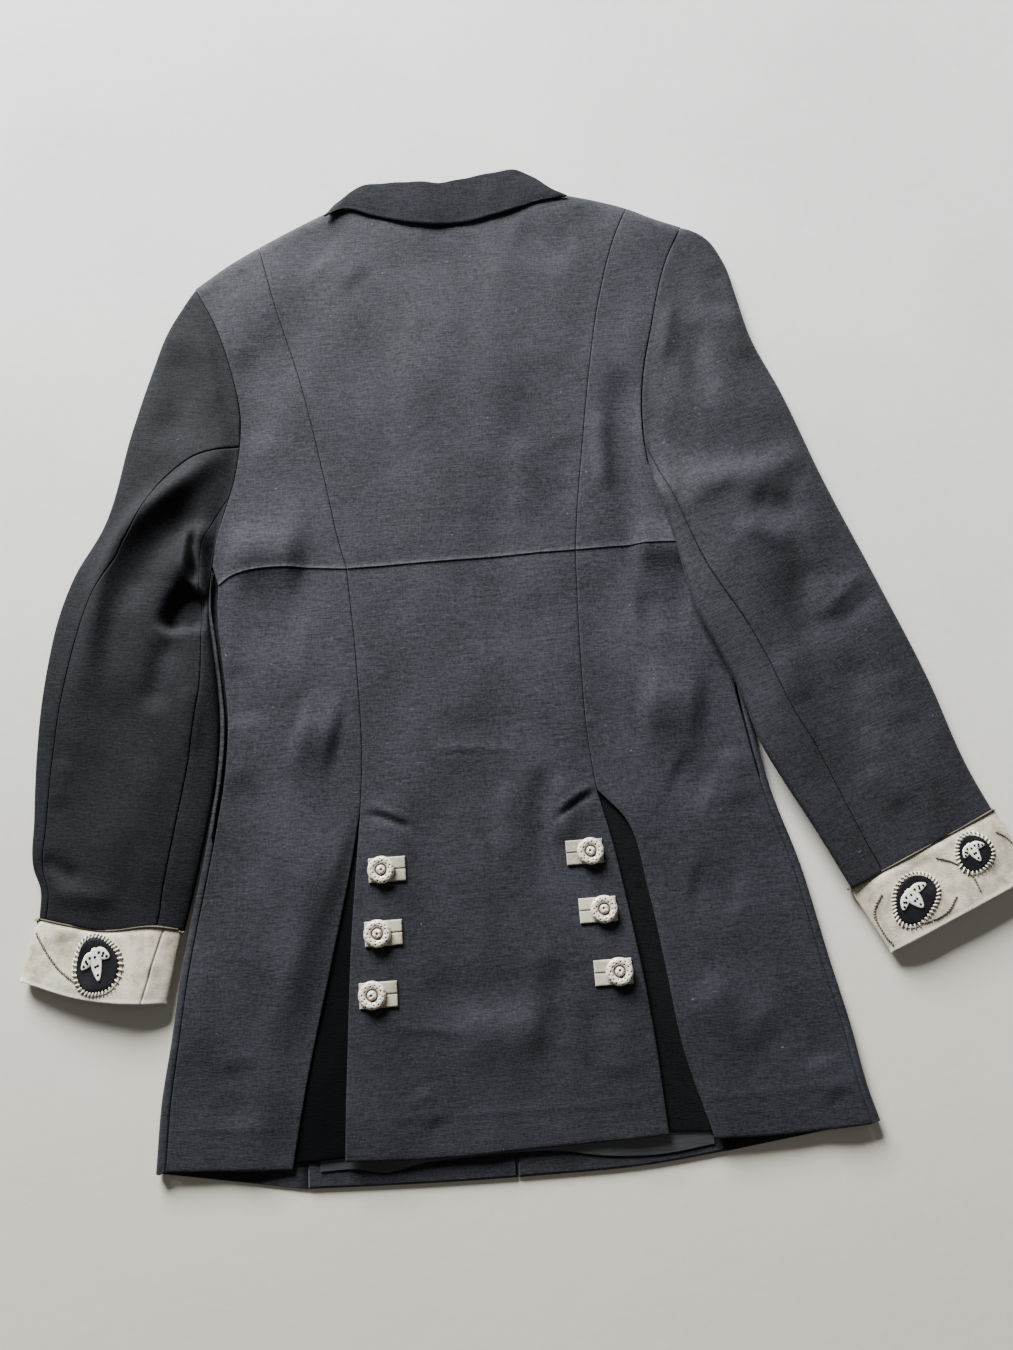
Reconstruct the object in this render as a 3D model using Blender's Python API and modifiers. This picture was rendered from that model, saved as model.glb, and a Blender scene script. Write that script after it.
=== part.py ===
"""A frock coat laid face down, its back up and its collar towards +Y.

Every piece is a wall of cloth between lines measured on the laid coat. Lines are plan points in
millimetres from the middle of the back hem, and the whole coat is moved so that its box is
centred on the origin. Heights are above the surface it lies on. Left and right are the wearer's.
"""

import math

import bpy
import numpy as np

# Driving sizes in millimetres
MM = 0.001
PLAN_CENTRE = (30.0, 425.4)
SEAM_GAP = 0.4
HIDDEN_GAP = 0.7
SHORTEST_STEP = 0.8
SLEEVE_SEAM_GAP = 1.5
LAYER_GAP = 0.3
BACK_WALL = 2.2
FRONT_WALL = 2.5
SLEEVE_WALL = 2.0
CUFF_WALL = 2.6
COLLAR_WALL = 2.0
UNDERLAY_WALL = 1.8
LINING_WALL = 0.8
TAB_WALL = 1.5
PATCH_WALL = 0.8
INSIDE_GAP = 3.6
BACK_HEIGHT = 7.7
CHEST_LIFT = 2.3
CHEST_FROM_Y = 540
CHEST_RISE_LENGTH = 180
VENT_LIFT = 1.3
VENT_TOP_Y = 300
VENT_FADE_LENGTH = 90
VENT_NEAR = 24
VENT_FADE_WIDTH = 26
UNDERLAY_TOP = 6.3
UNDERLAY_TUCK = (20, 3)
FACING_FROM_Y = 330
FACING_FADE_LENGTH = 90
NECK_TOP_Y = 846
SHOULDER_EDGE = 4.8
SHOULDER_ROLL = 13.0
SLEEVE_EDGE_SHARE = 0.45
SLEEVE_ROUNDNESS = 2.6
SLEEVE_OVER_BODY = 0.9
SLEEVE_RAMP_REACH = 42
SLEEVE_RAMP_WIDTH = 24
UNDERARM_Y = 548
UNDERARM_RAMP_LENGTH = 34
COLLAR_LIFT = 0.5
COLLAR_TIP_TURN = 0.62
COLLAR_SEAM_ABOVE_NECK = 3.8
LINING_DEPTH = 27.0
BUTTON_RADIUS = 10.6
BUTTON_HEIGHT = 4.2
BUTTON_STEPS = 18
TAB_LENGTH = 29.0
TAB_WIDTH = 19.0
TAB_BEHIND = 10.0

# Lines of the body, plan points in millimetres
LEFT_WAIST = [(-211, 466), (-203, 472), (-188, 476), (-143, 477), (-103, 473)]
CENTRE_WAIST = [(-103, 473), (-32, 474), (91, 475)]
RIGHT_WAIST = [(91, 475), (129, 476), (176, 474), (219, 468)]
NECKLINE = [(-107, 829), (-60, 823), (0, 820), (60, 825), (114, 831)]
LEFT_SHOULDER = [(-107, 829), (-141, 812), (-172, 795), (-200, 778), (-231, 755)]
RIGHT_SHOULDER = [(114, 831), (143, 822), (171, 811), (193, 799), (219, 787)]
LEFT_ARMHOLE = [(-231, 755), (-211, 711), (-197, 662), (-191, 625), (-196, 565), (-206, 530), (-213, 505),
                (-216, 484)]
RIGHT_ARMHOLE = [(219, 787), (199, 748), (178, 681), (165, 630), (160, 580), (161, 552)]
RIGHT_UNDERARM = [(161, 552), (165, 520), (174, 496), (195, 484), (219, 479)]
LEFT_PRINCESS = [(-172, 795), (-158, 731), (-137, 650), (-118, 551), (-108, 494), (-103, 473)]
RIGHT_PRINCESS = [(171, 811), (157, 782), (135, 716), (119, 643), (105, 565), (97, 518), (91, 475)]
LEFT_TAIL_SEAM = [(-103, 473), (-98, 390), (-97, 306), (-100, 268)]
RIGHT_TAIL_SEAM = [(91, 475), (87, 390), (86, 308), (89, 270)]
LEFT_TAIL_EDGE = [(-100, 268), (-104, 231), (-111, 165), (-117, 81), (-121, 12)]
RIGHT_TAIL_EDGE = [(89, 270), (97, 231), (106, 165), (114, 86), (117, 12)]
TAIL_HEM = [(-121, 12), (-54, 9), (10, 10), (75, 11), (117, 12)]
LEFT_SKIRT_EDGE = [(-100, 268), (-108, 229), (-126, 155), (-145, 80), (-160, 9)]
RIGHT_SKIRT_EDGE = [(89, 270), (110, 244), (121, 190), (128, 129), (134, 73), (150, 7)]
LEFT_SKIRT_HEM = [(-252, 15), (-205, 12), (-160, 9)]
RIGHT_SKIRT_HEM = [(150, 7), (205, 6), (267, 8)]
LEFT_EDGE = [(-260, 14), (-256, 64), (-249, 105), (-240, 165), (-221, 261), (-213, 310), (-211, 345),
             (-213, 378), (-217, 415), (-220, 445), (-219, 462), (-217, 475)]
RIGHT_EDGE = [(274, 10), (269, 32), (263, 80), (255, 126), (242, 205), (228, 261), (221, 310), (217, 350),
              (217, 385), (221, 420), (227, 455), (228, 475)]
LEFT_SIDE_SEAM = [(-252, 15), (-248, 64), (-242, 105), (-233, 165), (-214, 261), (-206, 310), (-204, 345),
                  (-206, 378), (-210, 415), (-212, 445), (-211, 466)]
RIGHT_SIDE_SEAM = [(267, 8), (262, 32), (256, 80), (248, 126), (235, 205), (221, 261), (214, 310), (210, 350),
                   (210, 385), (214, 420), (219, 468)]
LEFT_FRONT_SEAM = [(-150, -5), (-150, 200), (-152, 380), (-180, 470), (-209, 519)]
RIGHT_FRONT_SEAM = [(158, -3), (157, 200), (158, 380), (162, 450), (173, 497)]
FRONT_EDGE_X = 4.0
FRONT_HEM = [(-150, -5), (-96, -7), (20, -9), (100, -8), (158, -3)]
LINING_EDGE = [(-140, 6), (-115, 6), (-92, 2), (-66, 6), (-20, 8), (34, 7), (70, 1), (110, -1), (150, 3)]
COLLAR_FOLD = [(-100, 833), (-72, 852), (-43, 852), (3, 851), (37, 855), (70, 859), (86, 849), (104, 833),
               (116, 826)]
COLLAR_EDGE = [(-110, 819), (-92, 826), (-65, 816), (-28, 805), (5, 803), (27, 805), (68, 815), (92, 822),
               (112, 824)]

# Lines of the sleeves, from the shoulder to the cuff
LEFT_SLEEVE_OUTER = [(-231, 755), (-256, 711), (-269, 672), (-286, 614), (-309, 525), (-332, 483), (-344, 448),
                     (-351, 412), (-356, 371), (-358, 331), (-358, 280), (-357, 242), (-351, 226), (-351, 204)]
LEFT_SLEEVE_INNER = [(-217, 483), (-222, 466), (-223, 445), (-219, 415), (-215, 378), (-213, 345), (-215, 310),
                     (-223, 261), (-233, 213), (-239, 186)]
RIGHT_SLEEVE_OUTER = [(219, 787), (241, 773), (253, 748), (260, 710), (266, 672), (287, 609), (310, 526),
                      (340, 434), (369, 342), (389, 262), (401, 230)]
RIGHT_SLEEVE_INNER = [(162, 552), (168, 513), (176, 470), (186, 410), (201, 372), (213, 337), (223, 296),
                      (237, 264), (251, 236), (278, 178)]
LEFT_CUFF_SEAM = [(-351, 204), (-327, 197), (-297, 190), (-258, 190), (-239, 186)]
RIGHT_CUFF_SEAM = [(401, 230), (340, 204), (278, 178)]
LEFT_CUFF_EDGE = [(-364, 158), (-312, 140), (-272, 134), (-252, 133)]
RIGHT_CUFF_EDGE = [(424, 178), (363, 153), (302, 128)]
LEFT_CUFF_OUTER = [(-352, 203), (-364, 158)]
LEFT_CUFF_INNER = [(-241, 186), (-246, 162), (-252, 133)]
RIGHT_CUFF_OUTER = [(402, 230), (424, 178)]
RIGHT_CUFF_INNER = [(278, 178), (302, 128)]

# Where the seams of a sleeve lie: share along, share across from its outer edge (0) to its inner edge (1)
LEFT_ELBOW_SEAM = [(0.0, 0.60), (0.12, 0.45), (0.25, 0.30), (0.40, 0.17), (0.55, 0.14), (0.75, 0.11),
                   (1.0, 0.06)]
LEFT_FOREARM_SEAM = [(0.0, 0.77), (0.12, 0.78), (0.3, 0.86), (0.6, 0.85), (1.0, 0.82)]
RIGHT_ELBOW_SEAM = [(0.0, 0.93), (0.1, 0.91), (0.25, 0.87), (0.5, 0.80), (0.75, 0.76), (1.0, 0.79)]
RIGHT_FOREARM_SEAM = [(0.0, 0.75), (1.0, 0.72)]

# Height of the flattened sleeves and cuffs: share along, height
SLEEVE_HEIGHTS = [(0.0, 11.0), (0.2, 13.5), (0.5, 15.0), (0.8, 14.0), (1.0, 13.0)]
CUFF_HEIGHT = 13.6

# Soft rises and hollows of the back: x, y, wide, long, lift
SWELLS = [
    (-165, 400, 38, 70, 0.9),
    (165, 395, 40, 80, 1.0),
    (-20, 400, 60, 45, -0.7),
    (-40, 600, 60, 70, 0.9),
    (60, 700, 50, 60, -0.8),
    (-175, 745, 45, 40, 2.4),
    (175, 765, 45, 40, 2.4),
    (150, 640, 14, 110, -0.9),
    (0, 90, 26, 130, -0.5),
]

# Buttons on the tail: name, x, y, the way their tab points along X
BUTTONS = [
    ("left_1", -85, 220, 1),
    ("left_2", -90, 172, 1),
    ("left_3", -96, 127, 1),
    ("right_1", 79, 222, -1),
    ("right_2", 85, 177, -1),
    ("right_3", 92, 130, -1),
]

# Section of a button: share of its radius, share of its height
BUTTON_PROFILE = [(0.0, 1.0), (0.27, 0.97), (0.40, 0.72), (0.72, 0.66), (0.86, 0.86), (0.96, 0.62), (1.0, 0.3),
                  (0.9, 0.0), (0.0, 0.0)]

# Applied patches on the cuffs: name, share across, share along, half width, half length, turn
LEFT_PATCHES = [("left_1", 0.50, 0.50, 15.0, 20.0, -0.35)]
RIGHT_PATCHES = [("right_1", 0.72, 0.52, 20.0, 15.0, 0.4), ("right_2", 0.27, 0.36, 13.5, 13.5, 0.2)]

# Colours (linear), roughness and metallic value of each finish
LINEN = ((0.028, 0.031, 0.042, 1.0), 0.85, 0.0)
SATIN = ((0.10, 0.105, 0.12, 1.0), 0.4, 0.0)
SUEDE = ((0.36, 0.33, 0.26, 1.0), 0.9, 0.0)
BLACK_LEATHER = ((0.02, 0.02, 0.022, 1.0), 0.6, 0.0)
OLD_SILVER = ((0.62, 0.57, 0.49, 1.0), 0.45, 0.8)


# Steps across the pieces of the back, the same above and below the waist seam
CENTRE_STEPS = 11
SIDE_STEPS = 6


# Lines and surfaces

def smooth_line(points, per_span=10):
    """A dense smooth line through plan points, with the slope at each taken from its neighbours."""
    knots = np.array(points, float)
    at = np.r_[0.0, np.cumsum(np.linalg.norm(np.diff(knots, axis=0), axis=1))]
    slope = np.gradient(knots, at, axis=0)
    line = []
    for i in range(len(knots) - 1):
        span = at[i + 1] - at[i]
        for t in np.arange(per_span) / per_span:
            line.append((2 * t**3 - 3 * t**2 + 1) * knots[i] + (t**3 - 2 * t**2 + t) * span * slope[i]
                        + (3 * t**2 - 2 * t**3) * knots[i + 1] + (t**3 - t**2) * span * slope[i + 1])
    line.append(knots[-1])
    return np.array(line)


def joined(*lines):
    """One line from several that follow each other."""
    return np.concatenate([lines[0]] + [line[1:] for line in lines[1:]])


def beyond(line, point):
    """The rest of a line from its point nearest to the given one."""
    return line[int(np.argmin(np.linalg.norm(line - point, axis=1))):]


def read_at(line, shares):
    """Points of a line at shares of its length."""
    at = np.r_[0.0, np.cumsum(np.linalg.norm(np.diff(line, axis=0), axis=1))]
    wanted = np.asarray(shares) * at[-1]
    return np.stack([np.interp(wanted, at, line[:, k]) for k in range(line.shape[1])], axis=-1)


def patch(low, high, left, right, across, along):
    """Plan points between four lines, at shares across and along; low and high run from left to right."""
    u = np.asarray(across)[None, :, None]
    v = np.asarray(along)[:, None, None]
    low, high = read_at(low, across)[None], read_at(high, across)[None]
    left, right = read_at(left, along)[:, None], read_at(right, along)[:, None]
    corners_low = (1 - u) * low[:, :1] + u * low[:, -1:]
    corners_high = (1 - u) * high[:, :1] + u * high[:, -1:]
    return (1 - v) * (low - corners_low) + v * (high - corners_high) + (1 - u) * left + u * right


def inset(grid, sides, by=SEAM_GAP / 2):
    """The grid with the named sides drawn in by half a seam's gap."""
    grid = grid.copy()
    edges = {"low": (0, 1, 0), "high": (-1, -2, 0), "left": (0, 1, 1), "right": (-1, -2, 1)}
    for side in sides:
        edge, inner, axis = edges[side]
        lines = np.moveaxis(grid, axis, 0)
        step = lines[inner] - lines[edge]
        lines[edge] += by * step / np.maximum(np.linalg.norm(step, axis=-1, keepdims=True), 1e-9)
    return grid


def ease(t):
    """Smooth step from 0 to 1."""
    t = np.clip(t, 0.0, 1.0)
    return t * t * (3 - 2 * t)


def from_table(table, at):
    """A value read from a short two-column table."""
    return np.interp(at, [row[0] for row in table], [row[1] for row in table])


def distance_to(line, x, y):
    """Distance in plan from points to a line."""
    points = np.stack([x, y], axis=-1)[..., None, :]
    start, step = line[:-1], np.diff(line, axis=0)
    t = np.clip(((points - start) * step).sum(-1) / (step**2).sum(-1), 0, 1)
    return np.linalg.norm(points - start - t[..., None] * step, axis=-1).min(axis=-1)


def evenly(count):
    """Shares from 0 to 1 in a number of equal steps."""
    return np.linspace(0, 1, count + 1)


# Heights of the laid layers

SHOULDER_LINES = [smooth_line(LEFT_SHOULDER), smooth_line(RIGHT_SHOULDER)]


def vent_lift(x, y):
    """How far the tail and skirts stand on the pleats folded under the two vents."""
    rise = np.zeros_like(x)
    for tail, skirt in ((LEFT_TAIL_EDGE, LEFT_SKIRT_EDGE), (RIGHT_TAIL_EDGE, RIGHT_SKIRT_EDGE)):
        tail_x = np.interp(y, [p[1] for p in tail[::-1]], [p[0] for p in tail[::-1]])
        skirt_x = np.interp(y, [p[1] for p in skirt[::-1]], [p[0] for p in skirt[::-1]])
        far = np.abs(x - (tail_x + skirt_x) / 2) - np.abs(tail_x - skirt_x) / 2
        rise = np.maximum(rise, 1 - ease((far - VENT_NEAR) / VENT_FADE_WIDTH))
    return VENT_LIFT * rise * ease((VENT_TOP_Y - y) / VENT_FADE_LENGTH)


def back_height(x, y):
    """Upper surface of the back."""
    z = BACK_HEIGHT + CHEST_LIFT * ease((y - CHEST_FROM_Y) / CHEST_RISE_LENGTH) + vent_lift(x, y)
    for sx, sy, wide, long, lift in SWELLS:
        z = z + lift * np.exp(-((x - sx) / wide)**2 - ((y - sy) / long)**2)
    near = np.minimum(distance_to(SHOULDER_LINES[0], x, y), distance_to(SHOULDER_LINES[1], x, y))
    inward = np.clip(1 - near / SHOULDER_ROLL, 0, 1)
    return z - (z - SHOULDER_EDGE) * (1 - np.sqrt(1 - inward**2))


def front_wall(x, y):
    """Thickness of the front: cloth and facing, and more where the lapel and the pads lie under it."""
    under_back = back_height(x, y) - BACK_WALL - INSIDE_GAP
    return FRONT_WALL + np.maximum(0, under_back - FRONT_WALL) * ease((y - FACING_FROM_Y) / FACING_FADE_LENGTH)


def over_body(x, y):
    """1 where the right sleeve lies on the body, falling to 0 beside it."""
    edge = np.interp(y, [p[1] for p in RIGHT_EDGE], [p[0] for p in RIGHT_EDGE])
    beside = ease((edge + SLEEVE_RAMP_REACH - x) / SLEEVE_RAMP_WIDTH)
    return beside * ease((UNDERARM_Y - y) / UNDERARM_RAMP_LENGTH)


# Objects

def material(name, finish):
    """A material from its colour, roughness and metallic value."""
    colour, roughness, metallic = finish
    made = bpy.data.materials.new(name)
    made.use_nodes = True
    shader = made.node_tree.nodes["Principled BSDF"]
    shader.inputs["Base Color"].default_value = colour
    shader.inputs["Roughness"].default_value = roughness
    shader.inputs["Metallic"].default_value = metallic
    made.diffuse_color = colour
    return made


def add_object(name, mesh, finish):
    """A smooth object of the coat."""
    made = bpy.data.objects.new(name, mesh)
    mesh.materials.append(finish)
    for polygon in mesh.polygons:
        polygon.use_smooth = True
    coat.objects.link(made)
    made.parent = lay
    return made


def cloth(name, grid, wall, finish, outer_up=True):
    """A wall of cloth behind a grid of outer points. Wall is one thickness or one for each point."""
    rows, columns = grid.shape[:2]
    index = np.arange(rows * columns).reshape(rows, columns)
    quads = np.stack([index[:-1, :-1], index[:-1, 1:], index[1:, 1:], index[1:, :-1]], axis=-1).reshape(-1, 4)
    if not outer_up:
        quads = quads[:, ::-1]
    mesh = bpy.data.meshes.new(name)
    mesh.from_pydata((grid.reshape(-1, 3) * MM).tolist(), [], quads.tolist())
    made = add_object(name, mesh, finish)
    thickest = float(np.max(wall))
    shell = made.modifiers.new("Wall", "SOLIDIFY")
    shell.thickness = thickest * MM
    shell.offset = -1
    if np.ndim(wall):
        group = made.vertex_groups.new(name="wall")
        for i, share in enumerate(np.ravel(wall) / thickest):
            group.add([i], float(share), "REPLACE")
        shell.vertex_group = group.name
    return made


def raised(plan, height):
    """Plan points with their heights."""
    return np.concatenate([plan, np.broadcast_to(height, plan.shape[:2])[..., None]], axis=-1)


# Pieces of the body

def back_piece(name, low, high, left, right, across, along, seams):
    """A piece of the back between four lines, with its seams drawn in."""
    plan = inset(patch(low, high, left, right, evenly(across), along), seams)
    cloth(name, raised(plan, back_height(plan[..., 0], plan[..., 1])), BACK_WALL, linen)


def make_upper_back():
    """Three pieces over the waist seam, closer rows near the shoulders where they roll over."""
    rows = np.r_[evenly(13)[:-1], 0.955, 0.98, 0.993, 1.0]
    seams = ("low", "left", "right")
    left_princess = smooth_line(LEFT_PRINCESS)[::-1]
    right_princess = smooth_line(RIGHT_PRINCESS)[::-1]
    left_shoulder, right_shoulder = SHOULDER_LINES
    top = joined(beyond(left_shoulder[::-1], LEFT_PRINCESS[0]), smooth_line(NECKLINE),
                 beyond(right_shoulder[::-1], RIGHT_PRINCESS[0])[::-1])
    back_piece("back_upper_centre", smooth_line(CENTRE_WAIST), top, left_princess, right_princess,
               CENTRE_STEPS, rows, seams)

    left_side = joined(np.array([LEFT_WAIST[0], LEFT_ARMHOLE[-1]], float), smooth_line(LEFT_ARMHOLE)[::-1])
    left_top = beyond(left_shoulder, LEFT_PRINCESS[0])[::-1]
    back_piece("back_upper_side_left", smooth_line(LEFT_WAIST), left_top, left_side, left_princess,
               SIDE_STEPS, rows, seams)

    right_side = joined(np.array([RIGHT_WAIST[-1], RIGHT_UNDERARM[-1]], float),
                        smooth_line(RIGHT_UNDERARM)[::-1], smooth_line(RIGHT_ARMHOLE)[::-1])
    right_top = beyond(right_shoulder, RIGHT_PRINCESS[0])
    back_piece("back_upper_side_right", smooth_line(RIGHT_WAIST), right_top, right_princess, right_side,
               SIDE_STEPS, rows, seams)


def make_tail_and_skirts():
    """The tail between the two vents and a skirt on each side, under the waist seam."""
    rows = evenly(18)
    seams = ("high", "left", "right")
    left_tail = joined(smooth_line(LEFT_TAIL_SEAM), smooth_line(LEFT_TAIL_EDGE))[::-1]
    right_tail = joined(smooth_line(RIGHT_TAIL_SEAM), smooth_line(RIGHT_TAIL_EDGE))[::-1]
    back_piece("back_tail", smooth_line(TAIL_HEM), smooth_line(CENTRE_WAIST), left_tail, right_tail,
               CENTRE_STEPS, rows, seams)

    left_skirt = joined(smooth_line(LEFT_TAIL_SEAM), smooth_line(LEFT_SKIRT_EDGE))[::-1]
    back_piece("back_skirt_left", smooth_line(LEFT_SKIRT_HEM), smooth_line(LEFT_WAIST),
               smooth_line(LEFT_SIDE_SEAM), left_skirt, SIDE_STEPS, rows, seams)

    right_skirt = joined(smooth_line(RIGHT_TAIL_SEAM), smooth_line(RIGHT_SKIRT_EDGE))[::-1]
    back_piece("back_skirt_right", smooth_line(RIGHT_SKIRT_HEM), smooth_line(RIGHT_WAIST), right_skirt,
               smooth_line(RIGHT_SIDE_SEAM), SIDE_STEPS, rows, seams)


def make_underlays():
    """The pleat folded under each vent, from under the tail to under the skirt."""
    for name, tail, skirt, way in (("left", LEFT_TAIL_EDGE, LEFT_SKIRT_EDGE, 1),
                                   ("right", RIGHT_TAIL_EDGE, RIGHT_SKIRT_EDGE, -1)):
        tuck, rise = UNDERLAY_TUCK
        tucked = smooth_line(tail)[::-1] + (tuck * way, rise)
        reaching = smooth_line(skirt)[::-1] + (-tuck * way, rise)
        left, right = (reaching, tucked) if way > 0 else (tucked, reaching)
        low, high = np.array([left[0], right[0]]), np.array([left[-1], right[-1]])
        plan = patch(low, high, left, right, evenly(4), evenly(9))
        under_back = back_height(plan[..., 0], plan[..., 1]) - BACK_WALL - 2 * LAYER_GAP
        grid = raised(plan, np.minimum(UNDERLAY_TOP, under_back))
        cloth("vent_underlay_" + name, grid, UNDERLAY_WALL, linen)


def make_fronts():
    """Two fronts flat on the surface, from the shoulder and neck to the hem."""
    hem = smooth_line(FRONT_HEM)
    split = int(np.argmin(np.abs(hem[:, 0] - FRONT_EDGE_X)))
    middle = np.array([(FRONT_EDGE_X, hem[split][1]), (FRONT_EDGE_X, NECK_TOP_Y)], float)
    hem[split, 0] = FRONT_EDGE_X
    left_neck = np.array([NECKLINE[0], (-74, NECK_TOP_Y - 1), (FRONT_EDGE_X, NECK_TOP_Y)], float)
    top_left = joined(SHOULDER_LINES[0][::-1], left_neck)
    left = joined(smooth_line(LEFT_FRONT_SEAM), beyond(smooth_line(LEFT_ARMHOLE)[::-1], LEFT_FRONT_SEAM[-1]))
    right_neck = np.array([(FRONT_EDGE_X, NECK_TOP_Y), (84, NECK_TOP_Y), NECKLINE[-1]], float)
    top_right = joined(right_neck, SHOULDER_LINES[1])
    underarm = beyond(smooth_line(RIGHT_UNDERARM)[::-1], RIGHT_FRONT_SEAM[-1])
    right = joined(smooth_line(RIGHT_FRONT_SEAM), underarm, smooth_line(RIGHT_ARMHOLE)[::-1])
    for name, low, high, one, other in (("front_left", hem[:split + 1], top_left, left, middle),
                                        ("front_right", hem[split:], top_right, middle, right)):
        plan = inset(patch(low, high, one, other, evenly(8), evenly(26)), ("left", "right"), HIDDEN_GAP)
        wall = front_wall(plan[..., 0], plan[..., 1])
        cloth(name, raised(plan, 0.0), wall, linen, outer_up=False)


def side_section(inner, edge, seam, top):
    """One row of a front side: flat from the front seam, round the edge and back to the side seam."""
    way = (edge - inner) / np.linalg.norm(edge - inner)
    radius = top / 2
    turn = edge - way * radius
    row = [(*(inner + (turn - inner) * share), 0.0) for share in (0, 0.34, 0.67, 0.9)]
    for angle in np.radians((-90, -55, -20, 15, 50, 90)):
        row.append((*(turn + way * radius * math.cos(angle)), radius + radius * math.sin(angle)))
    reach = seam - turn
    end = seam + LAYER_GAP * reach / max(np.linalg.norm(reach), 1e-9)
    inward = (turn - end) @ way
    middle = (turn + end) / 2 if inward > SHORTEST_STEP else turn - way * SHORTEST_STEP
    last = end if inward > 2 * SHORTEST_STEP else turn - way * 2 * SHORTEST_STEP
    return row + [(*middle, top), (*last, top)]


def make_front_sides():
    """The side of each front, which goes round the edge to the side seam on the back."""
    for name, seam, edge, side in (("left", LEFT_FRONT_SEAM, LEFT_EDGE, LEFT_SIDE_SEAM),
                                   ("right", RIGHT_FRONT_SEAM, RIGHT_EDGE, RIGHT_SIDE_SEAM)):
        along = evenly(18)
        inner = read_at(smooth_line(seam), along)
        outer = read_at(smooth_line(edge), along)
        ends = read_at(smooth_line(side), along)
        tops = back_height(ends[:, 0], ends[:, 1])
        rows = [side_section(*row) for row in zip(inner, outer, ends, tops)]
        grid = inset(np.array(rows), ("left", "right", "high"), SEAM_GAP)
        cloth("front_side_" + name, grid, BACK_WALL, linen, outer_up=name == "left")


def make_lining():
    """The strip of lining that shows over the front hem, between the fronts and the tail."""
    edge = read_at(smooth_line(LINING_EDGE), evenly(14))
    plan = edge[None] + evenly(2)[:, None, None] * (0, LINING_DEPTH)
    cloth("lining_hem", raised(plan, FRONT_WALL + LAYER_GAP + LINING_WALL), LINING_WALL, satin)


def make_collar():
    """Stand and fall in one: from the neck seam out to the fold and back over to the fall's edge."""
    across = evenly(15)
    neck = read_at(smooth_line(NECKLINE), 0.02 + 0.96 * across) + (0, COLLAR_SEAM_ABOVE_NECK)
    fold = read_at(smooth_line(COLLAR_FOLD), across)
    edge = read_at(smooth_line(COLLAR_EDGE), across)
    inner = (across > 0.1) & (across < 0.9)
    neck = np.where(inner[:, None], neck, fold + COLLAR_TIP_TURN * (edge - fold))
    top_of_back = back_height(edge[:, 0], edge[:, 1])
    rows = []
    walls = []
    for n, f, e, back, whole in zip(neck, fold, edge, top_of_back, inner):
        top = back + LAYER_GAP + COLLAR_LIFT + COLLAR_WALL
        low = float(back_height(*np.array([n]).T)[0]) - BACK_WALL if whole else back + LAYER_GAP
        radius = (top - low) / 2
        way = (f - e) / np.linalg.norm(f - e)
        turn = f - way * radius
        row = [(*(e + (turn - e) * share), top) for share in (0, 0.5)]
        for angle in np.radians((90, 50, 15, -20, -55, -90)):
            row.append((*(turn + way * radius * math.cos(angle)), top - radius + radius * math.sin(angle)))
        row.append((*n, low))
        rows.append(row)
        walls.append([min(COLLAR_WALL, 0.8 * radius)] * len(row))
    cloth("collar", np.array(rows), np.array(walls), linen, outer_up=False)


# Sleeves and cuffs

class Sleeve:
    """A flattened tube between an outer and an inner edge, from its armhole to its cuff seam."""

    def __init__(self, start, end, outer, inner, heights, lifted=None, blend=0.0, fade=1):
        self.lines = [smooth_line(line) for line in (start, end, outer, inner)]
        self.heights = heights
        self.lifted = lifted
        self.blend = blend
        self.fade = fade

    def plan(self, u, v):
        """Plan point at a share across (u) and along (v): straight across, and bowed at the two ends."""
        start, end, outer, inner = self.lines
        a, b = read_at(start, u), read_at(end, u)
        c, d = read_at(outer, v), read_at(inner, v)
        u, v = u[..., None], v[..., None]
        start_bow = a - (1 - u) * start[0] - u * start[-1]
        end_bow = b - (1 - u) * end[0] - u * end[-1]
        return (1 - u) * c + u * d + (1 - v)**self.fade * start_bow + v**self.fade * end_bow

    def seam(self, table, side):
        """A seam's share across at a share along, moved by half a seam's gap to one side."""
        def share(v):
            ends = self.plan(np.array([0.0, 1.0]), np.array([v, v]))
            return from_table(table, v) + side * SLEEVE_SEAM_GAP / 2 / np.linalg.norm(ends[1] - ends[0])
        return share

    def floor(self, x, y):
        return np.zeros_like(x) if self.lifted is None else self.lifted(x, y)

    def upper(self, u, v):
        """Points of the upper surface."""
        p = self.plan(u, v)
        height = from_table(self.heights, v)
        low = SLEEVE_EDGE_SHARE * height
        side = np.abs(2 * u - 1)
        dome = low + (height - low) * np.sqrt(np.maximum(0, 1 - side**SLEEVE_ROUNDNESS))
        floor = self.floor(p[..., 0], p[..., 1])
        z = floor + dome
        if self.blend:
            keep = 1 - ease(v / self.blend)
            level = np.maximum(back_height(p[..., 0], p[..., 1]), floor + low)
            z = z * (1 - keep) + keep * np.where((u > 0) & (u < 1), level, floor + low)
        return np.concatenate([p, z[..., None]], axis=-1)

    def under(self, u, v):
        """Points of the surface that it lies on."""
        p = self.plan(u, v)
        width = np.linalg.norm(self.plan(np.ones_like(u), v) - self.plan(np.zeros_like(u), v), axis=-1)
        low = SLEEVE_EDGE_SHARE * from_table(self.heights, v)
        share = 2 * low / width
        round_in = np.clip((np.abs(2 * u - 1) - (1 - share)) / share, 0, 1)
        z = self.floor(p[..., 0], p[..., 1]) + low * (1 - np.sqrt(1 - round_in**2))
        return np.concatenate([p, z[..., None]], axis=-1)


def right_floor(x, y):
    """Top of the body under the right sleeve, a little over it, and 0 beside the body."""
    return (back_height(x, y) + SLEEVE_OVER_BODY) * over_body(x, y)


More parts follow.
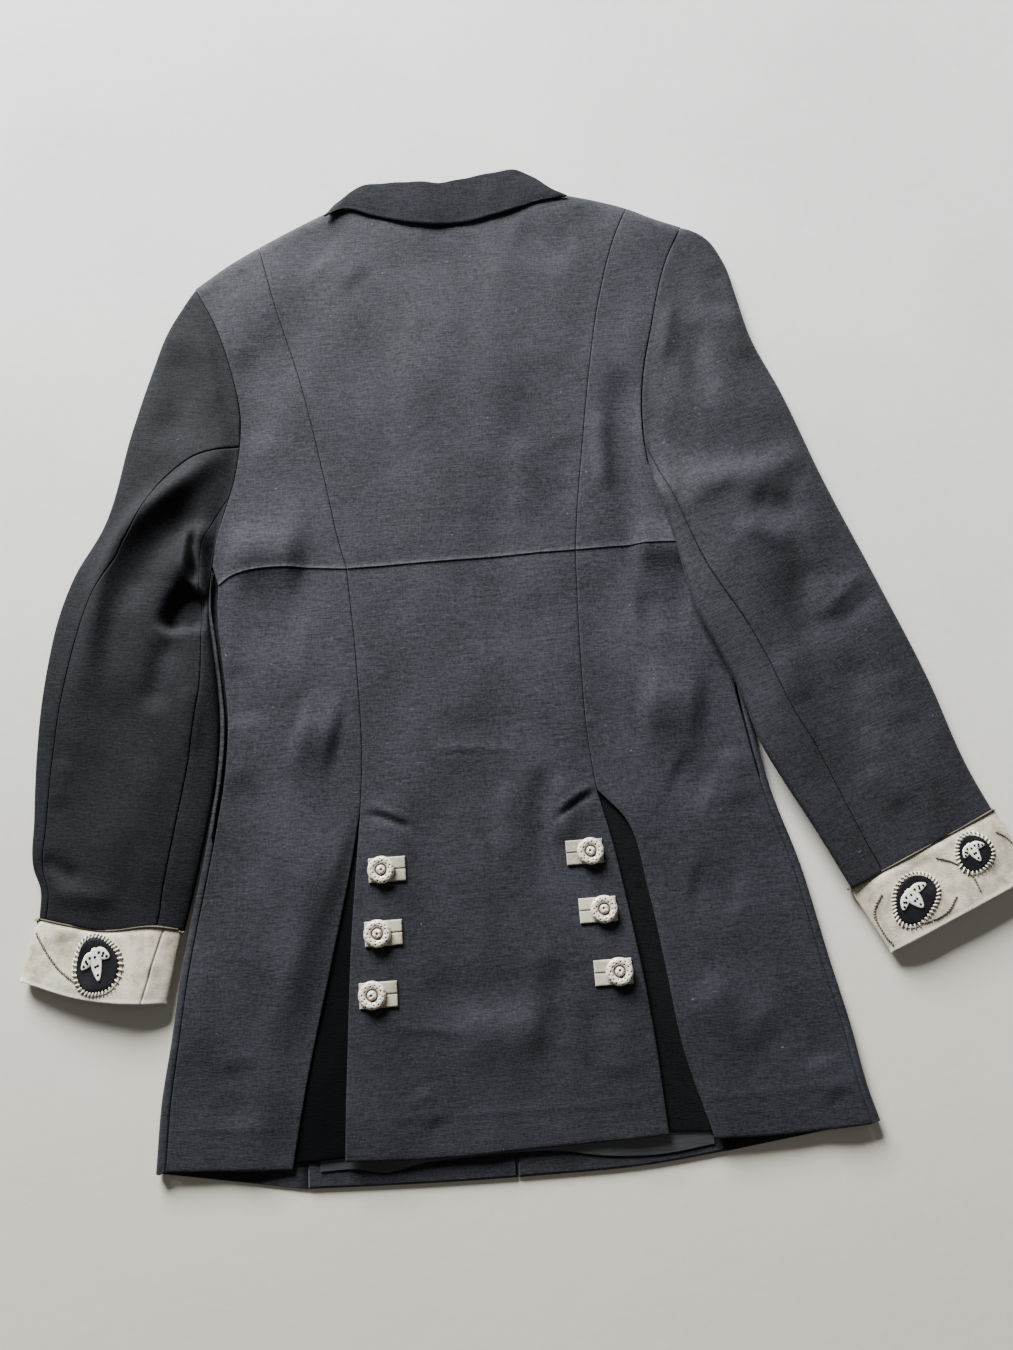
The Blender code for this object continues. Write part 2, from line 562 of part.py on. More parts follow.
LEFT_SLEEVE = Sleeve(LEFT_ARMHOLE[:-1] + [LEFT_SLEEVE_INNER[0]], LEFT_CUFF_SEAM, LEFT_SLEEVE_OUTER,
                     LEFT_SLEEVE_INNER, SLEEVE_HEIGHTS, blend=0.12, fade=9)
RIGHT_SLEEVE = Sleeve(RIGHT_ARMHOLE, RIGHT_CUFF_SEAM, RIGHT_SLEEVE_OUTER, RIGHT_SLEEVE_INNER,
                      SLEEVE_HEIGHTS, lifted=right_floor, blend=0.10, fade=4)
CUFF_HEIGHTS = [(0.0, SLEEVE_HEIGHTS[-1][1]), (0.1, CUFF_HEIGHT), (1.0, CUFF_HEIGHT)]
LEFT_CUFF = Sleeve(LEFT_CUFF_SEAM, LEFT_CUFF_EDGE, LEFT_CUFF_OUTER, LEFT_CUFF_INNER, CUFF_HEIGHTS)
RIGHT_CUFF = Sleeve(RIGHT_CUFF_SEAM, RIGHT_CUFF_EDGE, RIGHT_CUFF_OUTER, RIGHT_CUFF_INNER, CUFF_HEIGHTS)


def outer_edge(v):
    return 0.0


def inner_edge(v):
    return 1.0


def sleeve_rows(tube, along, sections):
    """A grid over a tube. Each section is (surface, start, end, shares), from one seam or edge to the next."""
    rows = []
    for v in along:
        row = []
        for surface, start, end, shares in sections:
            u = start(v) + (end(v) - start(v)) * shares
            u = u[1 if row else 0:]
            row.append(getattr(tube, surface)(u, np.full_like(u, v)))
        rows.append(np.concatenate(row))
    return np.array(rows)


def sleeve_ends(grid):
    """A sleeve piece drawn in at its armhole and at its cuff."""
    return inset(inset(grid, ("low",), HIDDEN_GAP), ("high",))


# Shares across a sleeve's stretches, closer together where the cloth turns over an edge
SEAM_TO_SEAM = np.array([0.0, 0.06, 0.2, 0.4, 0.6, 0.78, 0.9, 0.97, 1.0])
FROM_EDGE = np.array([0.0, 0.01, 0.045, 0.13, 0.27, 0.47, 0.75, 0.95, 1.0])
TO_EDGE = 1 - FROM_EDGE[::-1]
SHORT_FROM_EDGE = np.array([0.0, 0.05, 0.2, 0.5, 0.8, 1.0])
SHORT_TO_EDGE = np.array([0.0, 0.2, 0.6, 0.85, 0.96, 1.0])
UNDER_FROM_EDGE = np.array([0.0, 0.02, 0.09, 0.25, 0.6, 1.0])
UNDER_TO_EDGE = np.array([0.0, 0.17, 0.34, 0.5, 0.66, 0.8, 0.925, 0.97, 0.992, 1.0])
TURN_UP = np.array([0.0, 0.006, 0.023, 0.055])
EDGE_TO_EDGE = np.r_[TURN_UP, evenly(6)[1:-1], 1 - TURN_UP[::-1]]


def make_left_sleeve():
    """The left sleeve, whose underarm piece lies on top between its two seams."""
    tube, along = LEFT_SLEEVE, evenly(18)
    elbow, forearm = tube.seam(LEFT_ELBOW_SEAM, 1), tube.seam(LEFT_FOREARM_SEAM, -1)
    grid = sleeve_rows(tube, along, [("upper", elbow, forearm, SEAM_TO_SEAM)])
    cloth("sleeve_left_under", sleeve_ends(grid), SLEEVE_WALL, linen, outer_up=False)
    elbow, forearm = tube.seam(LEFT_ELBOW_SEAM, -1), tube.seam(LEFT_FOREARM_SEAM, 1)
    grid = sleeve_rows(tube, along, [("upper", elbow, outer_edge, TO_EDGE),
                                     ("under", outer_edge, inner_edge, EDGE_TO_EDGE),
                                     ("upper", inner_edge, forearm, SHORT_FROM_EDGE)])
    cloth("sleeve_left_upper", sleeve_ends(grid), SLEEVE_WALL, linen)


def make_right_sleeve():
    """The right sleeve, whose underarm piece goes round its inner edge."""
    tube, along = RIGHT_SLEEVE, evenly(20)
    elbow, forearm = tube.seam(RIGHT_ELBOW_SEAM, 1), tube.seam(RIGHT_FOREARM_SEAM, 1)
    grid = sleeve_rows(tube, along, [("upper", elbow, inner_edge, SHORT_TO_EDGE),
                                     ("under", inner_edge, forearm, UNDER_FROM_EDGE)])
    cloth("sleeve_right_under", sleeve_ends(grid), SLEEVE_WALL, linen)
    elbow, forearm = tube.seam(RIGHT_ELBOW_SEAM, -1), tube.seam(RIGHT_FOREARM_SEAM, -1)
    grid = sleeve_rows(tube, along, [("under", forearm, outer_edge, UNDER_TO_EDGE),
                                     ("upper", outer_edge, elbow, FROM_EDGE)])
    cloth("sleeve_right_upper", sleeve_ends(grid), SLEEVE_WALL, linen)


# Shares over a cuff's top, back under it, and along it
CUFF_OVER = np.array([0.0, 0.006, 0.03, 0.1, 0.22, 0.36, 0.5, 0.64, 0.78, 0.9, 0.97, 0.994, 1.0])
CUFF_UNDER = np.array([0.994, 0.977, 0.945, 0.7, 0.5, 0.3, 0.055, 0.023, 0.006])
CUFF_ROWS = (0.008, 0.12, 0.4, 0.7, 0.93, 1.0)


def make_cuff(name, tube):
    """A closed band round the end of a sleeve."""
    rows = []
    for v in CUFF_ROWS:
        upper = tube.upper(CUFF_OVER, np.full_like(CUFF_OVER, v))
        under = tube.under(CUFF_UNDER, np.full_like(CUFF_UNDER, v))
        rows.append(np.concatenate([upper, under]))
    grid = np.array(rows)
    count = grid.shape[1]
    index = np.arange(len(rows) * count).reshape(len(rows), count)
    turned = np.roll(index, -1, axis=1)
    quads = np.stack([index[:-1], index[1:], turned[1:], turned[:-1]], axis=-1).reshape(-1, 4)
    mesh = bpy.data.meshes.new("cuff_" + name)
    mesh.from_pydata((grid.reshape(-1, 3) * MM).tolist(), [], quads.tolist())
    if name == "right":
        mesh.flip_normals()
    made = add_object("cuff_" + name, mesh, suede)
    wall = made.modifiers.new("Wall", "SOLIDIFY")
    wall.thickness = CUFF_WALL * MM
    wall.offset = -1


def turned(angle):
    """Matrix that turns plan points, held in rows."""
    return np.array([[math.cos(angle), math.sin(angle)], [-math.sin(angle), math.cos(angle)]])


def round_disc(count):
    """A unit disc as a grid between four quarter arcs."""
    span = np.radians(np.linspace(-45, 45, count + 1))
    arc = np.stack([np.sin(span), -np.cos(span)], axis=-1)
    low, right, high, left = [arc @ turned(quarter * math.pi / 2) for quarter in range(4)]
    return patch(low, high[::-1], left[::-1], right, evenly(count), evenly(count))


def make_patches(tube, patches, outer_up):
    """Thin leather patches that follow the cuff's upper surface."""
    start, _, outer, _ = tube.lines
    wide = np.linalg.norm(start[0] - start[-1])
    long = np.linalg.norm(outer[0] - outer[-1])
    for name, across, along, half_wide, half_long, turn in patches:
        disc = round_disc(5) * (half_wide, half_long) @ turned(turn)
        grid = tube.upper(across + disc[..., 0] / wide, along + disc[..., 1] / long)
        grid[..., 2] += LAYER_GAP + PATCH_WALL
        cloth("patch_" + name, grid, PATCH_WALL, black_leather, outer_up=outer_up)


# Buttons and tabs

def make_tab(name, x, y, way):
    """A suede tab under a button, longer on the side towards the middle of the tail."""
    start = x - way * TAB_BEHIND
    end = start + way * TAB_LENGTH
    low_x, high_x = min(start, end), max(start, end)
    xs = low_x + (high_x - low_x) * evenly(4)
    ys = y + TAB_WIDTH * (evenly(3) - 0.5)
    plan = np.stack(np.meshgrid(xs, ys), axis=-1)
    top = back_height(plan[..., 0], plan[..., 1]) + LAYER_GAP + TAB_WALL
    cloth("tab_" + name, raised(plan, top), TAB_WALL, suede)


def make_button(name, x, y):
    """A turned button with a raised rim and a boss in its middle, seated over the highest cloth under it."""
    points = [(r * BUTTON_RADIUS * MM, 0, h * BUTTON_HEIGHT * MM) for r, h in BUTTON_PROFILE]
    mesh = bpy.data.meshes.new("button_" + name)
    mesh.from_pydata(points, [(i, i + 1) for i in range(len(points) - 1)], [])
    made = add_object("button_" + name, mesh, old_silver)
    around = np.linspace(0, 2 * math.pi, 12)
    cloth_under = back_height(x + BUTTON_RADIUS * np.cos(around), y + BUTTON_RADIUS * np.sin(around))
    seat = float(cloth_under.max()) + LAYER_GAP + TAB_WALL + LAYER_GAP
    made.location = (x * MM, y * MM, seat * MM)
    turned = made.modifiers.new("Turned", "SCREW")
    turned.steps = BUTTON_STEPS
    turned.render_steps = BUTTON_STEPS
    turned.use_merge_vertices = True
    turned.merge_threshold = 0.00001


for old in list(bpy.data.objects):
    bpy.data.objects.remove(old)

coat = bpy.data.collections.new("frock_coat")
bpy.context.scene.collection.children.link(coat)
lay = bpy.data.objects.new("laid_coat", None)
lay.location = (-PLAN_CENTRE[0] * MM, -PLAN_CENTRE[1] * MM, 0)
coat.objects.link(lay)

linen = material("dark_linen", LINEN)
satin = material("grey_satin", SATIN)
suede = material("greige_suede", SUEDE)
black_leather = material("black_leather", BLACK_LEATHER)
old_silver = material("old_silver", OLD_SILVER)

make_upper_back()
make_tail_and_skirts()
make_underlays()
make_fronts()
make_front_sides()
make_lining()
make_collar()
make_left_sleeve()
make_right_sleeve()
make_cuff("left", LEFT_CUFF)
make_cuff("right", RIGHT_CUFF)
make_patches(LEFT_CUFF, LEFT_PATCHES, False)
make_patches(RIGHT_CUFF, RIGHT_PATCHES, True)
for button_name, button_x, button_y, tab_way in BUTTONS:
    make_tab(button_name, button_x, button_y, tab_way)
    make_button(button_name, button_x, button_y)
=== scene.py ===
"""Looks of a frock coat laid face down: cloth, creases, seams, cuffs, buttons, floor, light and camera.

Lines are plan points in millimetres from the middle of the back hem, +Y towards the collar, as the
coat lies with its back up. Left and right are the wearer's. Heights are above the floor.
"""

import math

import bpy
import numpy as np
from mathutils import Matrix, Vector, noise


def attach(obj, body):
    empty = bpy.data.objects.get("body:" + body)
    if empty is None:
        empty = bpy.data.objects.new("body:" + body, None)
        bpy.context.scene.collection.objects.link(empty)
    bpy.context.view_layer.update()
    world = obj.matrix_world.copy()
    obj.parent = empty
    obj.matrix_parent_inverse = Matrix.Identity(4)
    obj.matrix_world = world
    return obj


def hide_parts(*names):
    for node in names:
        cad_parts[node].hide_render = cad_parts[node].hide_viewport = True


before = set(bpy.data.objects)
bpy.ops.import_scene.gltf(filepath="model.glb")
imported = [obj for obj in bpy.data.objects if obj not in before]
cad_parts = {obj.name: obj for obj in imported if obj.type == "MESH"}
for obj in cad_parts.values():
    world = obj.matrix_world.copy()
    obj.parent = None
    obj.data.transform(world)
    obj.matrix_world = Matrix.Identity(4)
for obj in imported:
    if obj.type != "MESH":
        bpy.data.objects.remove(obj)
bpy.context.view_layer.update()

MM = 0.001
PLAN_CENTRE = np.array([30.0, 425.4, 0.0])
SEAM_GAP = 0.3
HIDDEN_GAP = 0.15
SLEEVE_SEAM_GAP = 0.5
LAYER_GAP = 0.3

# Thickness of each cloth
LINEN_WALL = 1.3
COLLAR_WALL = 1.3
UNDERLAY_WALL = 1.1
FRONT_WALL = 2.4
CUFF_WALL = 2.2
LINING_WALL = 0.5
TAB_WALL = 1.5
PATCH_WALL = 0.8
BACK_WALL = 2.2

# How far apart the points of a cloth are
FINE_PITCH = 2.3
CLOTH_PITCH = 3.0
HIDDEN_PITCH = 6.0
EDGE_STEPS = (0.35, 0.9, 1.8)

# Strength of the creases, the lowest that they reach, and the lip of the upper back over the waist seam
RELIEF_SCALE = 1.9
LOWEST_BACK = 4.3
LOWEST_SLEEVE = 3.2
WAIST_LIP = 1.5
WAIST_LIP_REACH = 3.4

# Unevenness of laid cloth: how high, wide and long its swells are
BROAD_RIPPLE = (2.3, 46, 84)
FINE_RIPPLE = (0.45, 22, 40)

# Heights of the laid coat, and where they begin and fade
BACK_HEIGHT = 7.7
CHEST_LIFT = 2.3
CHEST_FROM_Y = 540
CHEST_RISE_LENGTH = 180
VENT_LIFT = 1.3
VENT_TOP_Y = 300
VENT_FADE_LENGTH = 90
VENT_NEAR = 24
VENT_FADE_WIDTH = 26
UNDERLAY_TOP = 5.4
UNDERLAY_TUCK = (20, 3)
NECK_TOP_Y = 846
SHOULDER_EDGE = 4.8
SHOULDER_ROLL = 13.0
SLEEVE_EDGE_SHARE = 0.45
SLEEVE_ROUNDNESS = 2.6
SLEEVE_OVER_BODY = 0.9
SLEEVE_RAMP_REACH = 64
SLEEVE_RAMP_WIDTH = 58
UNDERARM_Y = 548
UNDERARM_RAMP_LENGTH = 34
COLLAR_TIP_TURN = 0.62
COLLAR_SEAM_ABOVE_NECK = 3.8
LINING_DEPTH = 27.0
BUTTON_RADIUS = 10.6
BUTTON_HEIGHT = 4.2
TAB_LENGTH = 29.0
TAB_WIDTH = 19.0
TAB_BEHIND = 10.0

# Lines of the body, plan points in millimetres
LEFT_WAIST = [(-211, 466), (-203, 472), (-188, 476), (-143, 477), (-103, 473)]
CENTRE_WAIST = [(-103, 473), (-32, 474), (91, 475)]
RIGHT_WAIST = [(91, 475), (129, 476), (176, 474), (219, 468)]
NECKLINE = [(-107, 829), (-60, 823), (0, 820), (60, 825), (114, 831)]
LEFT_SHOULDER = [(-107, 829), (-141, 812), (-172, 795), (-200, 778), (-231, 755)]
RIGHT_SHOULDER = [(114, 831), (143, 822), (171, 811), (193, 799), (219, 787)]
LEFT_ARMHOLE = [(-231, 755), (-211, 711), (-197, 662), (-191, 625), (-196, 565), (-206, 530), (-213, 505),
                (-216, 484)]
RIGHT_ARMHOLE = [(219, 787), (199, 748), (178, 681), (165, 630), (160, 580), (161, 552)]
RIGHT_UNDERARM = [(161, 552), (170.5, 526), (181, 503), (199, 488), (219, 479)]
LEFT_PRINCESS = [(-172, 795), (-158, 731), (-137, 650), (-118, 551), (-108, 494), (-103, 473)]
RIGHT_PRINCESS = [(171, 811), (157, 782), (135, 716), (119, 643), (105, 565), (97, 518), (91, 475)]
LEFT_TAIL_SEAM = [(-103, 473), (-98, 390), (-97, 306), (-100, 268)]
RIGHT_TAIL_SEAM = [(91, 475), (87, 390), (86, 308), (89, 270)]
LEFT_TAIL_EDGE = [(-100, 268), (-104, 231), (-111, 165), (-117, 81), (-121, 12)]
RIGHT_TAIL_EDGE = [(89, 270), (97, 231), (106, 165), (114, 86), (117, 12)]
TAIL_HEM = [(-121, 12), (-54, 9), (10, 10), (75, 11), (117, 12)]
LEFT_SKIRT_EDGE = [(-100, 268), (-108, 229), (-126, 155), (-145, 80), (-160, 9)]
RIGHT_SKIRT_EDGE = [(89, 270), (110, 244), (121, 190), (128, 129), (134, 73), (150, 7)]
LEFT_SKIRT_HEM = [(-252, 15), (-205, 12), (-160, 9)]
RIGHT_SKIRT_HEM = [(150, 7), (205, 6), (267, 8)]
LEFT_EDGE = [(-260, 14), (-256, 64), (-249, 105), (-240, 165), (-221, 261), (-213, 310), (-211, 345),
             (-213, 378), (-217, 415), (-220, 445), (-219, 462), (-217, 475)]
RIGHT_EDGE = [(274, 10), (269, 32), (263, 80), (255, 126), (242, 205), (228, 261), (221, 310), (217, 350),
              (217, 385), (221, 420), (227, 455), (228, 475)]
LEFT_SIDE_SEAM = [(-252, 15), (-248, 64), (-242, 105), (-233, 165), (-214, 261), (-206, 310), (-204, 345),
                  (-206, 378), (-210, 415), (-212, 445), (-211, 466)]
RIGHT_SIDE_SEAM = [(267, 8), (262, 32), (256, 80), (248, 126), (235, 205), (221, 261), (214, 310), (210, 350),
                   (210, 385), (214, 420), (219, 468)]
LEFT_FRONT_SEAM = [(-150, -5), (-150, 200), (-152, 380), (-180, 470), (-209, 519)]
RIGHT_FRONT_SEAM = [(158, -3), (157, 200), (158, 380), (162, 450), (173, 497)]
FRONT_EDGE_X = 4.0
FRONT_HEM = [(-150, -5), (-96, -7), (20, -9), (100, -8), (158, -3)]
LINING_EDGE = [(-140, 6), (-115, 6), (-92, 2), (-66, 6), (-20, 8), (34, 7), (70, 1), (110, -1), (150, 3)]
COLLAR_FOLD = [(-100, 833), (-72, 852), (-43, 852), (3, 851), (37, 855), (70, 859), (86, 849), (104, 833),
               (116, 826)]
COLLAR_EDGE = [(-110, 819), (-92, 826), (-65, 816), (-28, 805), (5, 803), (27, 805), (68, 815), (92, 822),
               (112, 824)]

# Lines of the sleeves, from the shoulder to the cuff
LEFT_SLEEVE_OUTER = [(-231, 755), (-256, 711), (-269, 672), (-286, 614), (-309, 525), (-332, 483),
                     (-344, 448), (-351, 412), (-356, 371), (-358, 331), (-358, 280), (-357, 242),
                     (-351, 226), (-351, 204)]
LEFT_SLEEVE_INNER = [(-217, 483), (-218.8, 466), (-219.8, 445), (-216.8, 415), (-212.8, 378), (-211, 345),
                     (-213, 310), (-221.5, 261), (-232, 213), (-239, 186)]
RIGHT_SLEEVE_OUTER = [(219, 787), (241, 773), (253, 748), (260, 710), (266, 672), (287, 609), (310, 526),
                      (340, 434), (369, 342), (389, 262), (401, 230)]
RIGHT_SLEEVE_INNER = [(162, 552), (168, 513), (176, 470), (186, 410), (201, 372), (213, 337), (223, 296),
                      (237, 264), (251, 236), (278, 178)]
LEFT_CUFF_SEAM = [(-351, 204), (-327, 197), (-297, 190), (-258, 190), (-239, 186)]
RIGHT_CUFF_SEAM = [(401, 230), (340, 204), (278, 178)]
LEFT_CUFF_EDGE = [(-364, 158), (-312, 140), (-272, 134), (-252, 133)]
RIGHT_CUFF_EDGE = [(424, 178), (363, 153), (302, 128)]
LEFT_CUFF_OUTER = [(-352, 203), (-364, 158)]
LEFT_CUFF_INNER = [(-241, 186), (-246, 162), (-252, 133)]
RIGHT_CUFF_OUTER = [(402, 230), (424, 178)]
RIGHT_CUFF_INNER = [(278, 178), (302, 128)]

# Where a sleeve's seams lie: share along, share across from the outer edge
LEFT_ELBOW_SEAM = [(0.0, 0.60), (0.12, 0.45), (0.25, 0.30), (0.40, 0.17), (0.55, 0.14), (0.75, 0.11),
                   (1.0, 0.06)]
LEFT_FOREARM_SEAM = [(0.0, 0.77), (0.12, 0.78), (0.3, 0.86), (0.6, 0.85), (1.0, 0.82)]
RIGHT_ELBOW_SEAM = [(0.0, 0.93), (0.1, 0.91), (0.25, 0.87), (0.5, 0.80), (0.75, 0.76), (1.0, 0.79)]
RIGHT_FOREARM_SEAM = [(0.0, 0.75), (1.0, 0.72)]
SLEEVE_HEIGHTS = [(0.0, 11.0), (0.2, 13.5), (0.5, 15.0), (0.8, 14.0), (1.0, 13.0)]
CUFF_HEIGHT = 13.6

# Soft rises and hollows of the back: x, y, wide, long, lift
SWELLS = [
    (-165, 400, 38, 70, 0.9),
    (165, 395, 40, 80, 1.0),
    (-20, 400, 60, 45, -0.7),
    (-40, 600, 60, 70, 0.9),
    (60, 700, 50, 60, -0.8),
    (-175, 745, 45, 40, 2.4),
    (175, 765, 45, 40, 2.4),
    (150, 640, 14, 110, -0.9),
    (0, 90, 26, 130, -0.5),
]

# Creases: the line of a ridge or trough, half its width, and its lift (below 0 for a trough)
BACK_CREASES = [
    ([(-70, 640), (70, 652)], 62, 1.7),
    ([(-60, 765), (50, 770)], 26, -0.9),
    ([(-120, 780), (-80, 745)], 22, 0.9),
    ([(60, 790), (120, 765)], 20, -0.9),
    ([(-208, 494), (-132, 488)], 25, 3.3),
    ([(-203, 424), (-135, 418)], 27, -2.0),
    ([(-188, 690), (-180, 630), (-178, 580)], 12, -1.6),
    ([(149, 650), (143, 570), (144, 490)], 12, -2.7),
    ([(123, 610), (121, 520)], 9, 1.3),
    ([(92, 585), (84, 510)], 12, -1.1),
    ([(54, 590), (50, 500)], 15, 0.9),
    ([(-64, 590), (-58, 490)], 18, -0.9),
    ([(134, 476), (196, 472)], 20, 3.6),
    ([(134, 420), (184, 416)], 18, -2.4),
    ([(126, 341), (188, 331)], 27, 2.9),
    ([(148, 282), (182, 262)], 16, -1.5),
    ([(200, 300), (204, 245)], 15, 1.0),
    ([(-152, 338), (-112, 328)], 24, 2.6),
    ([(-196, 400), (-190, 340)], 16, -1.2),
    ([(-190, 310), (-191, 205)], 13, -2.3),
    ([(-158, 300), (-150, 190), (-162, 90)], 17, 2.0),
    ([(-222, 180), (-228, 80)], 14, 1.0),
    ([(-200, 90), (-196, 40)], 16, -1.4),
    ([(-50, 430), (40, 424)], 34, -1.0),
    ([(-46, 313), (0, 311), (38, 305)], 3.0, 0.35),
    ([(-52, 330), (40, 322)], 14, -0.7),
    ([(46, 297), (42, 240), (39, 190)], 8, -2.1),
    ([(64, 288), (60, 225)], 10, 1.1),
    ([(20, 288), (12, 210)], 10, 1.1),
    ([(-52, 280), (-46, 160)], 16, -0.9),
    ([(47, 150), (40, 100), (36, 48)], 11, -2.2),
    ([(-90, 104), (-50, 98), (-20, 92)], 4, 0.35),
    ([(-40, 96), (10, 92), (50, 97)], 20, 1.4),
    ([(-70, 122), (40, 120)], 16, -1.5),
    ([(-64, 60), (-50, 30)], 12, 0.8),
    ([(84, 100), (88, 50)], 12, 0.8),
    ([(152, 195), (196, 178)], 18, -2.2),
    ([(148, 120), (205, 70)], 22, 1.6),
    ([(212, 240), (228, 160), (238, 90)], 12, -1.3),
    ([(232, 60), (246, 25)], 12, 1.0),
    ([(-100, 266), (-83, 261), (-56, 249)], 2.8, -1.0),
    ([(-97, 272), (-82, 267), (-60, 256)], 3, 0.6),
    ([(90, 270), (70, 260), (50, 246)], 2.8, -1.0),
    ([(90, 276), (72, 267), (54, 254)], 3, 0.6),
]
HEM_LINES = [
    ([(-130, 42), (-50, 38), (20, 37), (130, 38)], 2.4, 0.4),
    ([(-260, 44), (-200, 40), (-140, 37)], 2.4, 0.35),
    ([(125, 37), (200, 36), (270, 38)], 2.4, 0.35),
]
LEFT_SLEEVE_CREASES = [
    ([(-193, 604), (-231, 567), (-252, 550), (-274, 532), (-296, 503), (-307, 468), (-313, 425),
      (-318, 365)], 11, 4.6),
    ([(-215, 546), (-240, 526), (-262, 504), (-276, 474), (-282, 440)], 14, -2.6),
    ([(-222, 526), (-232, 500), (-246, 466)], 9.5, 2.6),
    ([(-232, 520), (-231.5, 494), (-230, 466)], 3.8, -4.5),
    ([(-228, 467), (-241, 453), (-253, 424)], 8, -7.5),
    ([(-228, 462), (-235, 424)], 9, -6.0),
    ([(-248, 428), (-258, 396), (-264, 356)], 11, -2.4),
    ([(-300, 395), (-294, 320), (-288, 255)], 24, -1.4),
    ([(-272, 330), (-262, 262), (-258, 205)], 13, 1.1),
    ([(-352, 252), (-336, 240), (-316, 228)], 7, -1.4),
    ([(-348, 224), (-318, 218), (-285, 214)], 8, 1.1),
    ([(-250, 706), (-244, 640), (-256, 588)], 17, -2.0),
    ([(-222, 712), (-212, 655), (-216, 622)], 9, 1.2),
    ([(-334, 330), (-338, 285)], 8, 0.8),
    ([(-234, 386), (-232, 320)], 8, 1.0),
]
RIGHT_SLEEVE_CREASES = [
    ([(168, 545), (215, 536), (262, 534), (304, 556)], 13, 2.0),
    ([(184, 514), (212, 521), (236, 532)], 9, 1.2),
    ([(240, 508), (262, 498), (290, 502)], 13, -1.5),
    ([(224, 486), (250, 473), (280, 464)], 13, 1.5),
    ([(219, 690), (216, 640), (222, 598)], 13, -1.6),
    ([(197, 712), (183, 645)], 10, 1.3),
    ([(250, 700), (262, 640)], 13, 1.0),
    ([(276, 452), (270, 405), (276, 366)], 15, -1.3),
    ([(296, 438), (292, 392)], 13, 1.2),
    ([(290, 402), (308, 418), (334, 438)], 6, 0.8),
    ([(300, 390), (318, 403), (342, 421)], 7, -0.8),
    ([(310, 372), (304, 320), (312, 280)], 15, -1.0),
    ([(334, 352), (344, 300)], 15, 0.9),
    ([(248, 372), (262, 326)], 12, 1.0),
    ([(305, 272), (330, 236)], 13, 0.9),
    ([(242, 745), (248, 690)], 12, -1.1),
]
FRONT_CREASES = [
    ([(-90, 700), (-70, 600), (-80, 500)], 12, 1.0),
    ([(80, 690), (60, 590)], 14, 1.0),
    ([(-120, 330), (-100, 230), (-110, 120)], 14, 1.2),
    ([(110, 380), (95, 260), (105, 170)], 12, 1.1),
    ([(-60, 470), (0, 462), (50, 474)], 10, 0.9),
    ([(40, 150), (60, 60)], 12, 0.9),
    ([(-40, 260), (-20, 180)], 14, 0.8),
    ([(-300, 420), (-290, 340)], 12, 0.9),
    ([(-320, 300), (-280, 262)], 9, 0.8),
    ([(-250, 640), (-262, 560)], 12, 0.9),
    ([(300, 480), (330, 400)], 10, 0.9),
    ([(350, 300), (320, 262)], 9, 0.8),
    ([(230, 700), (240, 640)], 10, 0.8),
]

# Buttons on the tail, with the way their tab points along X
BUTTONS = [
    ("left_1", -85, 220, 1),
    ("left_2", -90, 172, 1),
    ("left_3", -96, 127, 1),
    ("right_1", 79, 222, -1),
    ("right_2", 85, 177, -1),
    ("right_3", 92, 130, -1),
]

# Applied patches: share across and along the cuff, half sizes, turn
LEFT_PATCHES = [("left_1", 0.50, 0.50, 15.0, 20.0, -0.35)]
RIGHT_PATCHES = [("right_1", 0.72, 0.52, 20.0, 15.0, 0.4), ("right_2", 0.27, 0.36, 13.5, 13.5, 0.2)]


# Lines and surfaces

def smooth_line(points, per_span=10):
    """A dense smooth line through plan points, with the slope at each taken from its neighbours."""
    knots = np.array(points, float)
    at = np.r_[0.0, np.cumsum(np.linalg.norm(np.diff(knots, axis=0), axis=1))]
    slope = np.gradient(knots, at, axis=0)
    line = []
    for i in range(len(knots) - 1):
        span = at[i + 1] - at[i]
        for t in np.arange(per_span) / per_span:
            line.append((2 * t**3 - 3 * t**2 + 1) * knots[i] + (t**3 - 2 * t**2 + t) * span * slope[i]
                        + (3 * t**2 - 2 * t**3) * knots[i + 1] + (t**3 - t**2) * span * slope[i + 1])
    line.append(knots[-1])
    return np.array(line)


def joined(*lines):
    """One line from several that follow each other."""
    return np.concatenate([lines[0]] + [line[1:] for line in lines[1:]])


def beyond(line, point):
    """The rest of a line from its point nearest to the given one."""
    return line[int(np.argmin(np.linalg.norm(line - point, axis=1))):]


def read_at(line, shares):
    """Points of a line at shares of its length."""
    at = np.r_[0.0, np.cumsum(np.linalg.norm(np.diff(line, axis=0), axis=1))]
    wanted = np.asarray(shares) * at[-1]
    return np.stack([np.interp(wanted, at, line[:, k]) for k in range(line.shape[1])], axis=-1)


def patch(low, high, left, right, across, along):
    """Plan points between four lines, at shares across and along; low and high run from left to right."""
    u = np.asarray(across)[None, :, None]
    v = np.asarray(along)[:, None, None]
    low, high = read_at(low, across)[None], read_at(high, across)[None]
    left, right = read_at(left, along)[:, None], read_at(right, along)[:, None]
    corners = ((1 - v) * ((1 - u) * low[:, :1] + u * low[:, -1:])
               + v * ((1 - u) * high[:, :1] + u * high[:, -1:]))
    return (1 - v) * low + v * high + (1 - u) * left + u * right - corners


SIDES = {"low": (0, 1), "high": (0, -1), "left": (1, 1), "right": (1, -1)}


def lines_from(grid, side):
    """The grid's lines in order from the named side. It is a view, so changes to it change the grid."""
    axis, way = SIDES[side]
    return np.moveaxis(grid, axis, 0)[::way]


def inset(grid, sides, by=SEAM_GAP / 2):
    """The grid with the named sides drawn in by half a seam's gap."""
    grid = grid.copy()
    for side in sides:
        lines = lines_from(grid, side)
        step = lines[1] - lines[0]
        reach = np.linalg.norm(step, axis=-1, keepdims=True)
        lines[0] += np.minimum(by, 0.6 * reach) * step / np.maximum(reach, 1e-9)
    return grid


